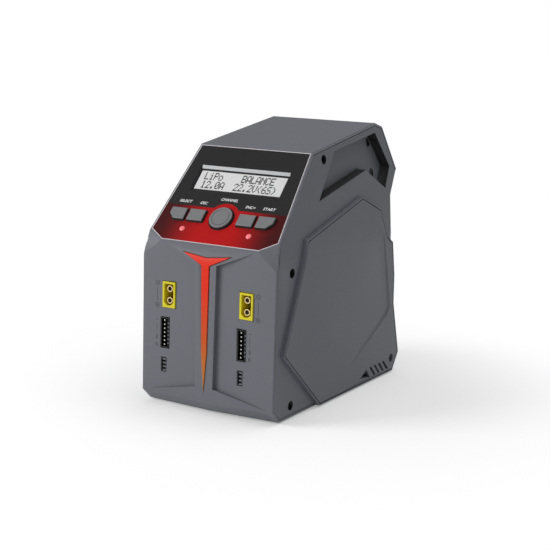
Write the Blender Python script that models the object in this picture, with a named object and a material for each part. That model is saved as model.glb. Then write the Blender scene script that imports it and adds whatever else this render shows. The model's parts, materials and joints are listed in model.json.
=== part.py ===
"""Dual-channel balance battery charger: a desktop charger with two output channels.

Run with: blender --background --python part.py

Frame: metres, +Z up, front face towards -Y, width along X. The origin is the middle of the base.
Two empties carry the pieces. "body_frame" sits at the foot of the front face's middle, so that a
piece's Y is its distance behind the front face. "panel_frame" sits at the sloped panel's lower
edge: its X is the width, its Y runs up the slope and its Z is the outward normal.
"""

import math

import bmesh
import bpy
from mathutils import Matrix, Vector

MM = 0.001

# ---------------------------------------------------------------- driving dimensions
HALF_WIDTH = 46.8 * MM  # side surface, below the bend
SIDE_BEND_Z = 96.3 * MM  # above this height the sides lean in
SIDE_LEAN = 0.113  # inward run for each unit of height
DEPTH = 167.7 * MM  # front face to the rearmost point of the side covers
FRONT_TOP_Z = 102.2 * MM  # where the front face meets the sloped panel
PANEL_SLOPE = math.radians(46.4)
PANEL_LENGTH = 74.9 * MM
ROOF_RISE = 13.1 * MM  # the roof climbs this much towards the rear
ROOF_REAR = 30.2 * MM  # from the roof's rear edge to the rearmost point
CHIN_DEPTH = 8.2 * MM  # bevel under the front face
CHIN_HEIGHT = 7.3 * MM
FOOT_STAND = 1.0 * MM  # how far the feet lift the housing

WALL = 2.4 * MM
GAP = 0.3 * MM  # between pieces that touch
LIP = 1.5 * MM  # edge of the centre housing that wraps round each side cover

# front spine and its insert
SPINE_PROUD = 2.6 * MM
SPINE_TOP_HALF = 7.5 * MM
SPINE_TOP_Z = FRONT_TOP_Z - 10.9 * MM
SPINE_FOOT_HALF = 6.3 * MM
SPINE_FOOT_Z = 16.1 * MM
SPINE_CHIN_Z = 5.9 * MM
SPINE_ROOT = 0.15 * MM  # its outer corners start this far behind the front face
SPINE_EDGE = 0.8 * MM  # and this far inside the front face's own corners
PANEL_FOOT_HALF = 34.3 * MM  # half width of the panel's lower edge
CORNER_RISE = 7.2 * MM  # panel side corners, up the slope
CORNER_DROP = 10.6 * MM  # corner facet, down the front's vertical edge
INSERT_PROUD = 0.6 * MM
INSERT_DEPTH = 1.2 * MM
WING_HALF = 16.2 * MM
STEM_TOP_HALF = 2.6 * MM
STEM_MID_HALF = 1.9 * MM

# sloped panel, in its own frame
OVERLAY_MARGIN = 1.0 * MM
OVERLAY_THICK = 0.6 * MM
OVERLAY_RECESS = OVERLAY_THICK + GAP
WINDOW_HALF = 31.8 * MM
WINDOW_LOW = 38.6 * MM
WINDOW_HIGH = 58.8 * MM
WINDOW_THICK = 0.9 * MM
DISPLAY_MARGIN = 3.6 * MM
DISPLAY_THICK = 4.7 * MM
BOARD = 1.6 * MM
KEY_ROW = 20.0 * MM  # centre line of the keys
KEY_WIDTH = 11.0 * MM
KEY_HEIGHT = 8.3 * MM
KEY_CUT = 3.8 * MM  # cut outer lower corner of the end keys
KEY_SPACE = 2.3 * MM  # between two flat keys
ROUND_KEY_R = 7.6 * MM
ROUND_KEY_SPACE = 4.35 * MM  # between the round key and the flat ones beside it
KEY_PROUD = 1.8 * MM
KEY_CLEAR = 0.35 * MM
KEY_FLANGE = 0.8 * MM
KEY_TRAVEL = 0.8 * MM
STEM_R = 1.6 * MM
SWITCH_SIZE = 6.0 * MM
LIGHT_R = 1.6 * MM
LIGHT_X = 23.4 * MM
LIGHT_ROW = 9.9 * MM

# sockets in the front face
CHANNEL_X = 27.4 * MM
OUTPUT_Z = 69.3 * MM
OUTPUT_SIZE = (9.2 * MM, 16.0 * MM)
OUTPUT_WALL = 1.4 * MM
OUTPUT_PROUD = 0.8 * MM
PIN_PITCH = 7.2 * MM
PIN_R = 2.0 * MM
BALANCE_SHIFT = -3.0 * MM
BALANCE_Z = 45.4 * MM
BALANCE_SIZE = (5.9 * MM, 19.0 * MM)
BALANCE_WALL = 0.65 * MM
BALANCE_PINS = 7
BALANCE_PITCH = 2.5 * MM
PORT_SHIFT = -3.7 * MM
PORT_Z = 25.4 * MM
PORT_SIZE = (3.4 * MM, 8.7 * MM)
PORT_PINS = 3
SOCKET_REACH = 11.7 * MM  # from the front face to the sockets' rear ends

# side covers
POCKET_DEPTH = 6.8 * MM
POCKET_WALL = 1.8 * MM
RIM_PROUD = 2.7 * MM
RIM_WIDTH = 1.0 * MM
PLATE_GAP = 0.5 * MM
SLOT_WIDTH = 2.6 * MM
SLOT_PITCH = 6.4 * MM
SLOT_LEAN = 7.0 * MM  # how far each slot's foot lies behind its top
SLOTS = 4
SCREW_R = 1.4 * MM
HEAD_R = 2.7 * MM
HEAD_THICK = 2.0 * MM
WELL_R = 4.3 * MM  # outside of the tube round a screw's head
WELL_DEPTH = 5.0 * MM
WELL_FLOOR = 2.0 * MM
SCREW_LENGTH = 14.0 * MM

# rear panel and what it holds
REAR_PANEL_Y = DEPTH - 19.7 * MM  # inner face
REAR_PANEL_TOP = 118.7 * MM
FAN_SIZE = 60.0 * MM
FAN_THICK = 15.0 * MM
FAN_Z = 81.0 * MM
FAN_RIM = 1.5 * MM  # thinnest part of the fan's frame
FAN_HUB_R = 11.5 * MM
FAN_BLADES = 7
FAN_PEG_R = 1.9 * MM
FAN_PEG_INSET = 5.0 * MM  # from the frame's sides to its holes
INLET_X = -20.0 * MM
INLET_Z = 30.0 * MM
INLET_SIZE = (27.0 * MM, 20.0 * MM)
INLET_BODY_LENGTH = 20.0 * MM
DC_X = 22.0 * MM
DC_Z = 30.0 * MM

# boards
OUTPUT_BOARD_HALF = 36.0 * MM
MAIN_BOARD_Z = 58.0 * MM
MAIN_BOARD_HALF = HALF_WIDTH - 4.3 * MM
POWER_BOARD_Z = 7.3 * MM
FOOT_R = 6.0 * MM
FOOT_SINK = 1.2 * MM

# ---------------------------------------------------------------- worked out from them
PANEL_RUN = PANEL_LENGTH * math.cos(PANEL_SLOPE)
PANEL_TOP_Z = FRONT_TOP_Z + PANEL_LENGTH * math.sin(PANEL_SLOPE)
ROOF_TOP_Z = PANEL_TOP_Z + ROOF_RISE
DISPLAY_TOP = -(WALL + GAP + GAP)
BOARD_TOP = DISPLAY_TOP - DISPLAY_THICK - GAP
SWITCH_TOP = BOARD_TOP + 2.3 * MM
ROUND_STEPS = 24  # corners of the round key's outline
FRONT_MOST = SPINE_PROUD + INSERT_PROUD
FRONT_Y = (FRONT_MOST - DEPTH) / 2
REAR_FACE_Y = REAR_PANEL_Y + WALL
KEY_INNER_X = ROUND_KEY_R + ROUND_KEY_SPACE + KEY_WIDTH / 2
KEY_OUTER_X = KEY_INNER_X + KEY_WIDTH + KEY_SPACE
FAN_BORE_R = FAN_SIZE / 2 - FAN_RIM


def side_x(z):
    """Half width of the housing at a height."""
    return HALF_WIDTH - max(0.0, z - SIDE_BEND_Z) * SIDE_LEAN


def front_y(z):
    """Y of the spine's surface, which leans back to the front face above the stem."""
    share = min(1.0, (FRONT_TOP_Z - z) / (FRONT_TOP_Z - SPINE_TOP_Z))
    return -SPINE_PROUD * share


# Side outline of the housing, (y, z), from the chin round by the front, the roof and the rear.
FRONT_OUTLINE = [
    (CHIN_DEPTH, 0.0),
    (0.0, CHIN_HEIGHT),
    (0.0, FRONT_TOP_Z),
    (PANEL_RUN, PANEL_TOP_Z),
    (DEPTH - ROOF_REAR, ROOF_TOP_Z),
    (DEPTH - 20.0 * MM, ROOF_TOP_Z - 2.9 * MM),
    (DEPTH - 2.2 * MM, ROOF_TOP_Z - 31.5 * MM),
    (DEPTH - 13.4 * MM, ROOF_TOP_Z - 48.3 * MM),
]
COVER_REAR = [
    (DEPTH - 16.0 * MM, SIDE_BEND_Z - 2.7 * MM),
    (DEPTH - 11.5 * MM, 67.3 * MM),
    (DEPTH - 10.8 * MM, 47.7 * MM),
    (DEPTH, 11.7 * MM),
    (DEPTH - 9.2 * MM, 0.0),
]
# Where the corner facet meets the side, (y, z), in place of the corner itself.
FACET_LOW = (0.0, FRONT_TOP_Z - CORNER_DROP)
FACET_HIGH = (
    CORNER_RISE * math.cos(PANEL_SLOPE),
    FRONT_TOP_Z + CORNER_RISE * math.sin(PANEL_SLOPE),
)
HOUSING_OUTLINE = FRONT_OUTLINE + [(DEPTH - 13.4 * MM, 0.0)]
COVER_OUTLINE = FRONT_OUTLINE[:2] + [FACET_LOW, FACET_HIGH] + FRONT_OUTLINE[3:] + COVER_REAR

# Rim and plate outline on the side: three corners at the front, a peak at the top.
RIM_OUTLINE = [
    (54.0 * MM, 0.0),
    (45.5 * MM, 7.4 * MM),
    (7.2 * MM, 40.3 * MM),
    (33.2 * MM, SIDE_BEND_Z + 9.9 * MM),
    (DEPTH * 0.65, SIDE_BEND_Z + 28.3 * MM),
    (DEPTH - 33.0 * MM, SIDE_BEND_Z + 17.8 * MM),
    (DEPTH - 26.0 * MM, SIDE_BEND_Z - 1.0 * MM),
    (DEPTH - 17.2 * MM, SIDE_BEND_Z - 6.0 * MM),
    (DEPTH - 12.7 * MM, 67.3 * MM),
    (DEPTH - 12.0 * MM, 47.7 * MM),
    (DEPTH - 1.2 * MM, 11.9 * MM),
    (DEPTH - 9.6 * MM, 0.0),
]
POCKET_OUTLINE = [
    (PANEL_RUN + 4.2 * MM, PANEL_TOP_Z - 29.4 * MM),
    (PANEL_RUN + 27.5 * MM, PANEL_TOP_Z - 0.9 * MM),
    (DEPTH - 31.0 * MM, ROOF_TOP_Z - 6.4 * MM),
    (DEPTH - 12.4 * MM, ROOF_TOP_Z - 29.4 * MM),
    (DEPTH - 20.3 * MM, ROOF_TOP_Z - 43.0 * MM),
    (DEPTH - 47.5 * MM, ROOF_TOP_Z - 29.0 * MM),
]
# Side screws, (y, z, depth of the surface that they start from).
COVER_SCREWS = [
    (PANEL_RUN + 12.7 * MM, PANEL_TOP_Z - 5.2 * MM, 0.0),
    (18.5 * MM, FRONT_TOP_Z - 13.7 * MM, 0.0),
    (21.3 * MM, 7.5 * MM, 0.0),
    (REAR_FACE_Y + GAP + WELL_R, 9.4 * MM, 0.0),
    (DEPTH - 29.0 * MM, ROOF_TOP_Z - 13.0 * MM, POCKET_DEPTH),
    (DEPTH - 26.5 * MM, ROOF_TOP_Z - 33.2 * MM, POCKET_DEPTH),
]


# ---------------------------------------------------------------- scene and materials
def clear_scene():
    for obj in list(bpy.data.objects):
        bpy.data.objects.remove(obj)


def make_material(name, colour, roughness, metallic=0.0, alpha=1.0):
    material = bpy.data.materials.new(name)
    material.use_nodes = True
    shader = material.node_tree.nodes["Principled BSDF"]
    shader.inputs["Base Color"].default_value = (*colour, 1.0)
    shader.inputs["Roughness"].default_value = roughness
    shader.inputs["Metallic"].default_value = metallic
    shader.inputs["Alpha"].default_value = alpha
    material.diffuse_color = (*colour, alpha)
    return material


def make_empty(name, location, rotation=(0, 0, 0), parent=None):
    empty = bpy.data.objects.new(name, None)
    empty.location = location
    empty.rotation_euler = rotation
    empty.parent = parent
    bpy.context.scene.collection.objects.link(empty)
    return empty


# ---------------------------------------------------------------- shapes, as bmeshes
def box(low, high):
    bm = bmesh.new()
    bmesh.ops.create_cube(bm, size=1.0)
    size = [b - a for a, b in zip(low, high)]
    middle = [(a + b) / 2 for a, b in zip(low, high)]
    bmesh.ops.scale(bm, vec=size, verts=bm.verts)
    bmesh.ops.translate(bm, vec=middle, verts=bm.verts)
    return bm


TURNS = {
    "X": Matrix.Rotation(math.pi / 2, 3, "Y"),
    "Y": Matrix.Rotation(-math.pi / 2, 3, "X"),
    "Z": Matrix.Identity(3),
}


def cylinder(start, radius, length, axis="Z", sides=16):
    """Cylinder from a start point along +axis."""
    bm = bmesh.new()
    bmesh.ops.create_cone(
        bm,
        cap_ends=True,
        segments=sides,
        radius1=radius,
        radius2=radius,
        depth=length,
    )
    bmesh.ops.translate(bm, vec=(0, 0, length / 2), verts=bm.verts)
    bmesh.ops.rotate(bm, matrix=TURNS[axis], verts=bm.verts)
    bmesh.ops.translate(bm, vec=start, verts=bm.verts)
    return bm


def prism(points, low, high, plane="XY"):
    """Outline extruded from low to high along the plane's normal."""
    bm = bmesh.new()
    order = {"XY": (0, 1, 2), "XZ": (0, 2, 1), "YZ": (1, 2, 0)}[plane]
    verts = []
    for a, b in points:
        co = [0.0, 0.0, 0.0]
        co[order[0]], co[order[1]], co[order[2]] = a, b, low
        verts.append(bm.verts.new(co))
    face = bm.faces.new(verts)
    made = bmesh.ops.extrude_face_region(bm, geom=[face])
    moved = [item for item in made["geom"] if isinstance(item, bmesh.types.BMVert)]
    shift = [0.0, 0.0, 0.0]
    shift[order[2]] = high - low
    bmesh.ops.translate(bm, vec=shift, verts=moved)
    bmesh.ops.recalc_face_normals(bm, faces=bm.faces)
    return bm


def split_at(bm, point, normal):
    geometry = bm.verts[:] + bm.edges[:] + bm.faces[:]
    bmesh.ops.bisect_plane(bm, geom=geometry, plane_co=point, plane_no=normal)


def slab(points, inner, outer, side):
    """Plate with a (y, z) outline that follows one leaning side, between two offsets from it."""
    bm = bmesh.new()
    bm.faces.new([bm.verts.new((0, y, z)) for y, z in points])
    split_at(bm, (0, 0, SIDE_BEND_Z), (0, 0, 1))
    made = bmesh.ops.extrude_face_region(bm, geom=bm.faces[:])
    moved = {item for item in made["geom"] if isinstance(item, bmesh.types.BMVert)}
    for vert in bm.verts:
        vert.co.x = side * (side_x(vert.co.z) + (outer if vert in moved else inner))
    bmesh.ops.recalc_face_normals(bm, faces=bm.faces)
    return bm


def span(points, inset):
    """Body with a (y, z) outline that reaches from side to side, short of both by an inset."""
    bm = bmesh.new()
    bm.faces.new([bm.verts.new((0, y, z)) for y, z in points])
    split_at(bm, (0, 0, SIDE_BEND_Z), (0, 0, 1))
    made = bmesh.ops.extrude_face_region(bm, geom=bm.faces[:])
    moved = {item for item in made["geom"] if isinstance(item, bmesh.types.BMVert)}
    for vert in bm.verts:
        half = side_x(vert.co.z) - inset
        vert.co.x = half if vert in moved else -half
    bmesh.ops.recalc_face_normals(bm, faces=bm.faces)
    return bm


def inset_outline(points, distances):
    """Outline moved inwards, each edge by its own distance, with mitred corners.

    Edge i runs from point i to the next. A single number serves every edge.
    """
    count = len(points)
    if isinstance(distances, float):
        distances = [distances] * count
    area = sum(
        points[i][0] * points[(i + 1) % count][1] - points[(i + 1) % count][0] * points[i][1]
        for i in range(count)
    )
    turn = 1.0 if area > 0 else -1.0
    lines = []
    for i in range(count):
        start = Vector(points[i])
        end = Vector(points[(i + 1) % count])
        along = (end - start).normalized()
        inward = Vector((-along.y, along.x)) * turn
        lines.append((start + inward * distances[i], along))
    moved = []
    for i in range(count):
        (p, d), (q, e) = lines[i - 1], lines[i]
        cross = d.x * e.y - d.y * e.x
        if abs(cross) < 1e-9:
            moved.append(tuple(q))
            continue
        step = ((q.x - p.x) * e.y - (q.y - p.y) * e.x) / cross
        moved.append(tuple(p + d * step))
    return moved


def together(*shapes):
    """One bmesh that holds several separate shapes."""
    bm = shapes[0]
    for other in shapes[1:]:
        mesh = bpy.data.meshes.new("piece")
        other.to_mesh(mesh)
        other.free()
        bm.from_mesh(mesh)
        bpy.data.meshes.remove(mesh)
    return bm


# ---------------------------------------------------------------- objects
def add_object(name, bm, material=None, parent=None):
    bmesh.ops.recalc_face_normals(bm, faces=bm.faces)
    mesh = bpy.data.meshes.new(name)
    bm.to_mesh(mesh)
    bm.free()
    obj = bpy.data.objects.new(name, mesh)
    obj.parent = parent
    if material:
        mesh.materials.append(material)
    bpy.context.scene.collection.objects.link(obj)
    mesh.shade_smooth()
    mesh.set_sharp_from_angle(angle=math.radians(30))
    return obj


def operand(name, bm, parent):
    """Hidden shape that a Boolean uses."""
    obj = add_object(name, bm, parent=parent)
    obj.hide_render = True
    obj.display_type = "WIRE"
    return obj


def boolean(obj, operation, bm=None, parent=None, other=None):
    if other is None:
        name = f"{obj.name}_{operation.lower()}_{len(obj.modifiers)}"
        other = operand(name, bm, parent or obj.parent)
    modifier = obj.modifiers.new(operation.title(), "BOOLEAN")
    modifier.operation = operation
    modifier.solver = "EXACT"
    modifier.object = other
    return other


def cut(obj, bm=None, parent=None, other=None):
    return boolean(obj, "DIFFERENCE", bm, parent, other)


def join(obj, bm=None, parent=None, other=None):
    return boolean(obj, "UNION", bm, parent, other)


# ---------------------------------------------------------------- shared shapes
def corner_cutter(side):
    """Wedge that takes off the corner between the front, the panel and one side."""
    foot = Vector((side * PANEL_FOOT_HALF, 0.0, FRONT_TOP_Z))
    high = Vector((side * side_x(FACET_HIGH[1]), *FACET_HIGH))
    low = Vector((side * HALF_WIDTH, *FACET_LOW))
    normal = (high - foot).cross(low - foot).normalized()
    if normal.y > 0:
        normal = -normal
    bm = bmesh.new()
    centre = (foot + high + low) / 3
    turn = normal.to_track_quat("Z", "Y").to_matrix()
    bmesh.ops.create_cube(bm, size=0.06)
    bmesh.ops.translate(bm, vec=(0, 0, 0.03), verts=bm.verts)
    bmesh.ops.rotate(bm, matrix=turn, verts=bm.verts)
    bmesh.ops.translate(bm, vec=centre, verts=bm.verts)
    return bm


def panel_outline(margin):
    """The sloped panel's outline in its own frame, moved in by a margin."""
    corner = side_x(FACET_HIGH[1])
    top = side_x(PANEL_TOP_Z)
    points = [
        (-PANEL_FOOT_HALF, 0.0),
        (PANEL_FOOT_HALF, 0.0),
        (corner, CORNER_RISE),
        (top, PANEL_LENGTH),
        (-top, PANEL_LENGTH),
        (-corner, CORNER_RISE),
    ]
    return inset_outline(points, margin)


def key_outline(name, grow):
    """(x, y) outline of a key on the panel, grown by a clearance, or None for the round key."""
    x = KEY_PLACES[name]
    if x == 0.0:
        radius = ROUND_KEY_R + grow
        steps = [2 * math.pi * i / ROUND_STEPS for i in range(ROUND_STEPS)]
        return [(radius * math.cos(a), KEY_ROW + radius * math.sin(a)) for a in steps]
    side = 1 if x > 0 else -1
    w, h = KEY_WIDTH / 2, KEY_HEIGHT / 2
    points = [(-w, -h), (w, -h), (w, h), (-w, h)]
    if abs(x) > KEY_INNER_X:
        points = [(-w, -h), (w - KEY_CUT, -h), (w, -h + KEY_CUT), (w, h), (-w, h)]
    points = [(x + side * a, KEY_ROW + b) for a, b in points]
    return inset_outline(points, -grow)


KEY_PLACES = {
    "key_select": -KEY_OUTER_X,
    "key_decrease": -KEY_INNER_X,
    "key_channel": 0.0,
    "key_increase": KEY_INNER_X,
    "key_start": KEY_OUTER_X,
}


def insert_outline(grow):
    """(x, z) outline of the Y-shaped insert."""
    wing_z = SPINE_TOP_Z + 5.8 * MM
    right = [
        (0.0, 14.1 * MM),
        (STEM_MID_HALF, 38.0 * MM),
        (STEM_TOP_HALF, SPINE_TOP_Z - 0.5 * MM),
        (WING_HALF, wing_z),
    ]
    left = [(-x, z) for x, z in reversed(right[1:])]
    return inset_outline(right + [(0.0, wing_z - 1.9 * MM)] + left, -grow)


def on_spine(points, out, depth):
    """Body that follows the spine's surface, from out in front of it to depth behind it."""
    bm = bmesh.new()
    bm.faces.new([bm.verts.new((x, 0, z)) for x, z in points])
    split_at(bm, (0, 0, SPINE_TOP_Z), (0, 0, 1))
    made = bmesh.ops.extrude_face_region(bm, geom=bm.faces[:])
    moved = {item for item in made["geom"] if isinstance(item, bmesh.types.BMVert)}
    for vert in bm.verts:
        vert.co.y = front_y(vert.co.z) + (-out if vert in moved else depth)
    bmesh.ops.recalc_face_normals(bm, faces=bm.faces)
    return bm


def spine_body():
    """Raised Y-shaped spine: its corners lie in the front face and its middle stands proud."""
    right = [
        (SPINE_FOOT_HALF, SPINE_FOOT_Z, -SPINE_PROUD),
        (SPINE_TOP_HALF, SPINE_TOP_Z, -SPINE_PROUD),
        (PANEL_FOOT_HALF - SPINE_EDGE, FRONT_TOP_Z - 0.5 * SPINE_EDGE, SPINE_ROOT),
    ]
    chin = (HALF_WIDTH - SPINE_EDGE, CHIN_HEIGHT + 0.5 * SPINE_EDGE, SPINE_ROOT)
    ring = [(0.0, SPINE_CHIN_Z, -SPINE_PROUD), chin] + right
    ring += [(-x, z, y) for x, z, y in reversed(right)] + [(-chin[0], chin[1], chin[2])]
    bm = bmesh.new()
    front = [bm.verts.new((x, y, z)) for x, z, y in ring]
    back = []
    for x, z, y in ring:
        on_chin = z < SPINE_FOOT_Z
        proud = y < 0
        depth = (CHIN_DEPTH - (SPINE_PROUD if proud else 0.0)) if on_chin else 1.0 * MM
        back.append(bm.verts.new((x, depth, 0.0 if on_chin else z)))
    count = len(ring)
    for i in range(count):
        j = (i + 1) % count
        bm.faces.new((front[i], front[j], back[j], back[i]))
    # ring order: 0 chin middle, 1 chin right, 2 foot, 3 top, 4 panel right, 5..7 left, 8 chin left
    for face in ((0, 1, 2), (0, 2, 7), (0, 7, 8), (2, 3, 6, 7), (3, 4, 5, 6)):
        bm.faces.new([front[i] for i in face])
        bm.faces.new([back[i] for i in reversed(face)])
    bmesh.ops.recalc_face_normals(bm, faces=bm.faces)
    return bm


# ---------------------------------------------------------------- housing
def screw_places(side):
    """(x, y, z, well depth) of each side screw: x is the surface that its head is sunk from."""
    for y, z, sunk in COVER_SCREWS:
        yield side * (side_x(z) - sunk), y, z, HEAD_THICK if sunk else WELL_DEPTH


def bar(x0, x1, y, z, radius, sides=12):
    """Cylinder along X between two ends, in either order."""
    return cylinder((min(x0, x1), y, z), radius, abs(x1 - x0), "X", sides)


def add_housing_bosses(housing):
    """Blocks inside the housing that take the side screws, each rooted in a wall."""
    half = 4.0 * MM
    roots = [
        ("up", 5.9 * MM),
        ("front", 0.0),
        ("down", 0.0),
        ("down", 0.0),
        ("up", 10.9 * MM),
        ("back", 0.0),
    ]
    inner = inset_outline(HOUSING_OUTLINE, 0.5 * WALL)
    for side in (-1, 1):
        for (start, y, z, well), (root, reach) in zip(screw_places(side), roots):
            near = abs(start) - well - WELL_FLOOR - GAP
            far = abs(start) - SCREW_LENGTH - 2.5 * MM
            low = [min(side * near, side * far), y - half, z - half]
            high = [max(side * near, side * far), y + half, z + half]
            if root == "up":
                high[2] = z + reach
            if root == "front":
                low[1] = inner[1][0]
            if root == "down":
                low[2] = inner[0][1]
            if root == "back":
                high[1] = DEPTH - 6.5 * MM
            join(housing, box(low, high))


def make_housing(material, frame, panel, overlay_cutter):
    housing = add_object("centre_housing", span(HOUSING_OUTLINE, 0.0), material, frame)
    cavity = span(inset_outline(HOUSING_OUTLINE, WALL), -WALL)
    cut(housing, cavity)
    opening_low = (-2 * HALF_WIDTH, DEPTH - 25.0 * MM, 12.0 * MM)
    opening_high = (2 * HALF_WIDTH, DEPTH + 1.0 * MM, REAR_PANEL_TOP - 5.7 * MM)
    cut(housing, box(opening_low, opening_high))
    join(housing, spine_body())
    for side in (-1, 1):
        gusset_low = (side * 37.5 * MM - 6.4 * MM, 1.0 * MM, FRONT_TOP_Z - 15.0 * MM)
        gusset_high = (side * 37.5 * MM + 6.4 * MM, 6.5 * MM, FRONT_TOP_Z + 1.5 * MM)
        join(housing, box(gusset_low, gusset_high))
    add_housing_bosses(housing)
    recess = inset_outline(COVER_OUTLINE, cover_insets(LIP, -4.0 * MM))
    rim = inset_outline(RIM_OUTLINE, -GAP)
    for side in (-1, 1):
        cut(housing, slab(recess, -WALL - GAP, WALL, side))
        cut(housing, slab(rim, -WALL - GAP, WALL, side))
        cut(housing, corner_cutter(side))
    cut(housing, other=overlay_cutter)
    cut_panel_openings(housing, panel)
    cut_front_openings(housing)
    add_board_posts(housing, panel)
    wells = []
    holes = []
    for side in (-1, 1):
        for start, y, z, well in screw_places(side):
            well_end = start - side * (well + WELL_FLOOR + GAP)
            hole_end = start - side * (SCREW_LENGTH + MM)
            wells.append(bar(start, well_end, y, z, WELL_R + GAP))
            holes.append(bar(start, hole_end, y, z, SCREW_R + GAP, 8))
    cut(housing, together(*wells))
    cut(housing, together(*holes))
    feet = [cylinder((x, y, -MM), FOOT_R + GAP, FOOT_SINK + MM) for x, y in foot_places()]
    cut(housing, together(*feet))
    return housing


def cover_insets(distance, rear=0.0):
    """Inset of each edge of the cover outline, with its own value along the free rear edges."""
    count = len(COVER_OUTLINE)
    shared = count - len(COVER_REAR) - 2
    return [distance if i < shared or i == count - 1 else rear for i in range(count)]


def foot_places():
    x = HALF_WIDTH - 15.0 * MM
    return [(sx * x, y) for sx in (-1, 1) for y in (24.0 * MM, DEPTH - 28.0 * MM)]


def cut_panel_openings(housing, panel):
    high, low = 5.0 * MM, -WALL - 1.2 * MM
    window = [(-WINDOW_HALF, WINDOW_LOW), (WINDOW_HALF, WINDOW_LOW)]
    window += [(WINDOW_HALF, WINDOW_HIGH), (-WINDOW_HALF, WINDOW_HIGH)]
    shapes = [prism(window, low, high)]
    shapes += [prism(key_outline(name, KEY_CLEAR), low, high) for name in KEY_PLACES]
    for side in (-1, 1):
        start = (side * LIGHT_X, LIGHT_ROW, low)
        shapes.append(cylinder(start, LIGHT_R + GAP, high - low))
    cut(housing, together(*shapes), panel)


def channel_sockets():
    """(x, z, width, height) of every socket in the front face."""
    for side in (-1, 1):
        x = side * CHANNEL_X
        yield x, OUTPUT_Z, *OUTPUT_SIZE
        yield x + BALANCE_SHIFT, BALANCE_Z, *BALANCE_SIZE
        yield x + PORT_SHIFT, PORT_Z, *PORT_SIZE


def cut_front_openings(housing):
    shapes = []
    for x, z, width, height in channel_sockets():
        w, h = width / 2 + GAP, height / 2 + GAP
        shapes.append(box((x - w, -MM, z - h), (x + w, WALL + MM, z + h)))
    cut(housing, together(*shapes))
    cut(housing, on_spine(insert_outline(GAP), 5.0 * MM, INSERT_DEPTH + GAP))


def add_board_posts(housing, panel):
    """Posts that the boards rest on, each rooted a little way into its wall."""
    root = WALL - 0.6 * MM
    on_body = []
    on_panel = []
    for side in (-1, 1):
        for z in (24.0 * MM, OUTPUT_Z + 9.0 * MM):
            start = (side * 12.5 * MM, root, z)
            on_body.append(cylinder(start, 2.5 * MM, SOCKET_REACH - root, "Y", 8))
        for y in (38.0 * MM, DEPTH - 60.0 * MM):
            start = (side * 33.0 * MM, y, root)
            on_body.append(cylinder(start, 3.0 * MM, POWER_BOARD_Z - GAP - root, "Z", 8))
        for x, y in ((38.2 * MM, WINDOW_LOW - 6.5 * MM), (30.0 * MM, PANEL_LENGTH - 9.5 * MM)):
            start = (side * x, y, BOARD_TOP + GAP)
            on_panel.append(cylinder(start, 1.9 * MM, -root - BOARD_TOP - GAP, "Z", 8))
    join(housing, together(*on_body))
    join(housing, together(*on_panel), panel)


# ---------------------------------------------------------------- side covers and plates
def vent_shapes(side, inner, outer):
    """Cutters for a triangular vent and a row of slots that slant to the rear, low on one side."""
    low, high = 3.0 * MM, 9.8 * MM
    rear = DEPTH - 24.9 * MM  # top end of the rearmost slot
    w = SLOT_WIDTH / 2
    shapes = []
    for i in range(SLOTS):
        top = rear - i * SLOT_PITCH
        foot = top + SLOT_LEAN
        outline = [(top - w, high), (top + w, high), (foot + w, low), (foot - w, low)]
        shapes.append(slab(outline, inner, outer, side))
    tip = rear - SLOTS * SLOT_PITCH + 1.1 * MM
    outline = [(tip - 8.6 * MM, 4.8 * MM), (tip, high - 0.7 * MM), (tip + 5.2 * MM, low)]
    shapes.append(slab(outline, inner, outer, side))
    return together(*shapes)


def make_cover(name, side, material, frame):
    outline = inset_outline(COVER_OUTLINE, cover_insets(LIP + GAP))
    cover = add_object(name, slab(outline, -WALL, 0.0, side), material, frame)
    rim_inner = inset_outline(RIM_OUTLINE, RIM_WIDTH)
    join(cover, slab(RIM_OUTLINE, -0.5 * WALL, RIM_PROUD, side))
    cut(cover, slab(rim_inner, 0.0, RIM_PROUD + WALL, side))
    tub = inset_outline(POCKET_OUTLINE, -POCKET_WALL)
    join(cover, slab(tub, -POCKET_DEPTH - POCKET_WALL, -0.5 * WALL, side))
    wells = []
    for start, y, z, well in screw_places(side):
        rooted = start - side * 0.5 * WALL
        wells.append(bar(rooted, start - side * (well + WELL_FLOOR), y, z, WELL_R))
    join(cover, together(*wells))
    cut(cover, slab(POCKET_OUTLINE, -POCKET_DEPTH, WALL + RIM_PROUD, side))
    heads, shanks = [], []
    for start, y, z, well in screw_places(side):
        outside = start + side * 5.0 * MM
        heads.append(bar(start - side * well, outside, y, z, HEAD_R + GAP))
        shanks.append(bar(start, start - side * SCREW_LENGTH, y, z, SCREW_R + GAP, 8))
    cut(cover, together(*heads))
    cut(cover, together(*shanks))
    cut(cover, vent_shapes(side, -2 * WALL, RIM_PROUD + WALL))
    add_board_rails(cover, side)
    return cover


def add_board_rails(cover, side):
    """Ledges under and over the main board's edge."""
    far = HALF_WIDTH - 0.5 * WALL
    near = MAIN_BOARD_HALF - 3.0 * MM
    for z in (MAIN_BOARD_Z - GAP - 2.0 * MM, MAIN_BOARD_Z + BOARD + GAP):
        low = (min(side * near, side * far), 34.0 * MM, z)
        high = (max(side * near, side * far), DEPTH - 50.0 * MM, z + 2.0 * MM)
        join(cover, box(low, high))


def make_side_plate(name, side, material, frame):
    outline = inset_outline(RIM_OUTLINE, RIM_WIDTH + PLATE_GAP)
    plate = add_object(name, slab(outline, GAP, RIM_PROUD, side), material, frame)
    cut(plate, vent_shapes(side, -WALL, RIM_PROUD + WALL))
    start, y, z, _ = list(screw_places(side))[3]
    cut(plate, bar(start, start + side * 8.0 * MM, y, z, HEAD_R + GAP))
    return plate


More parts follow.
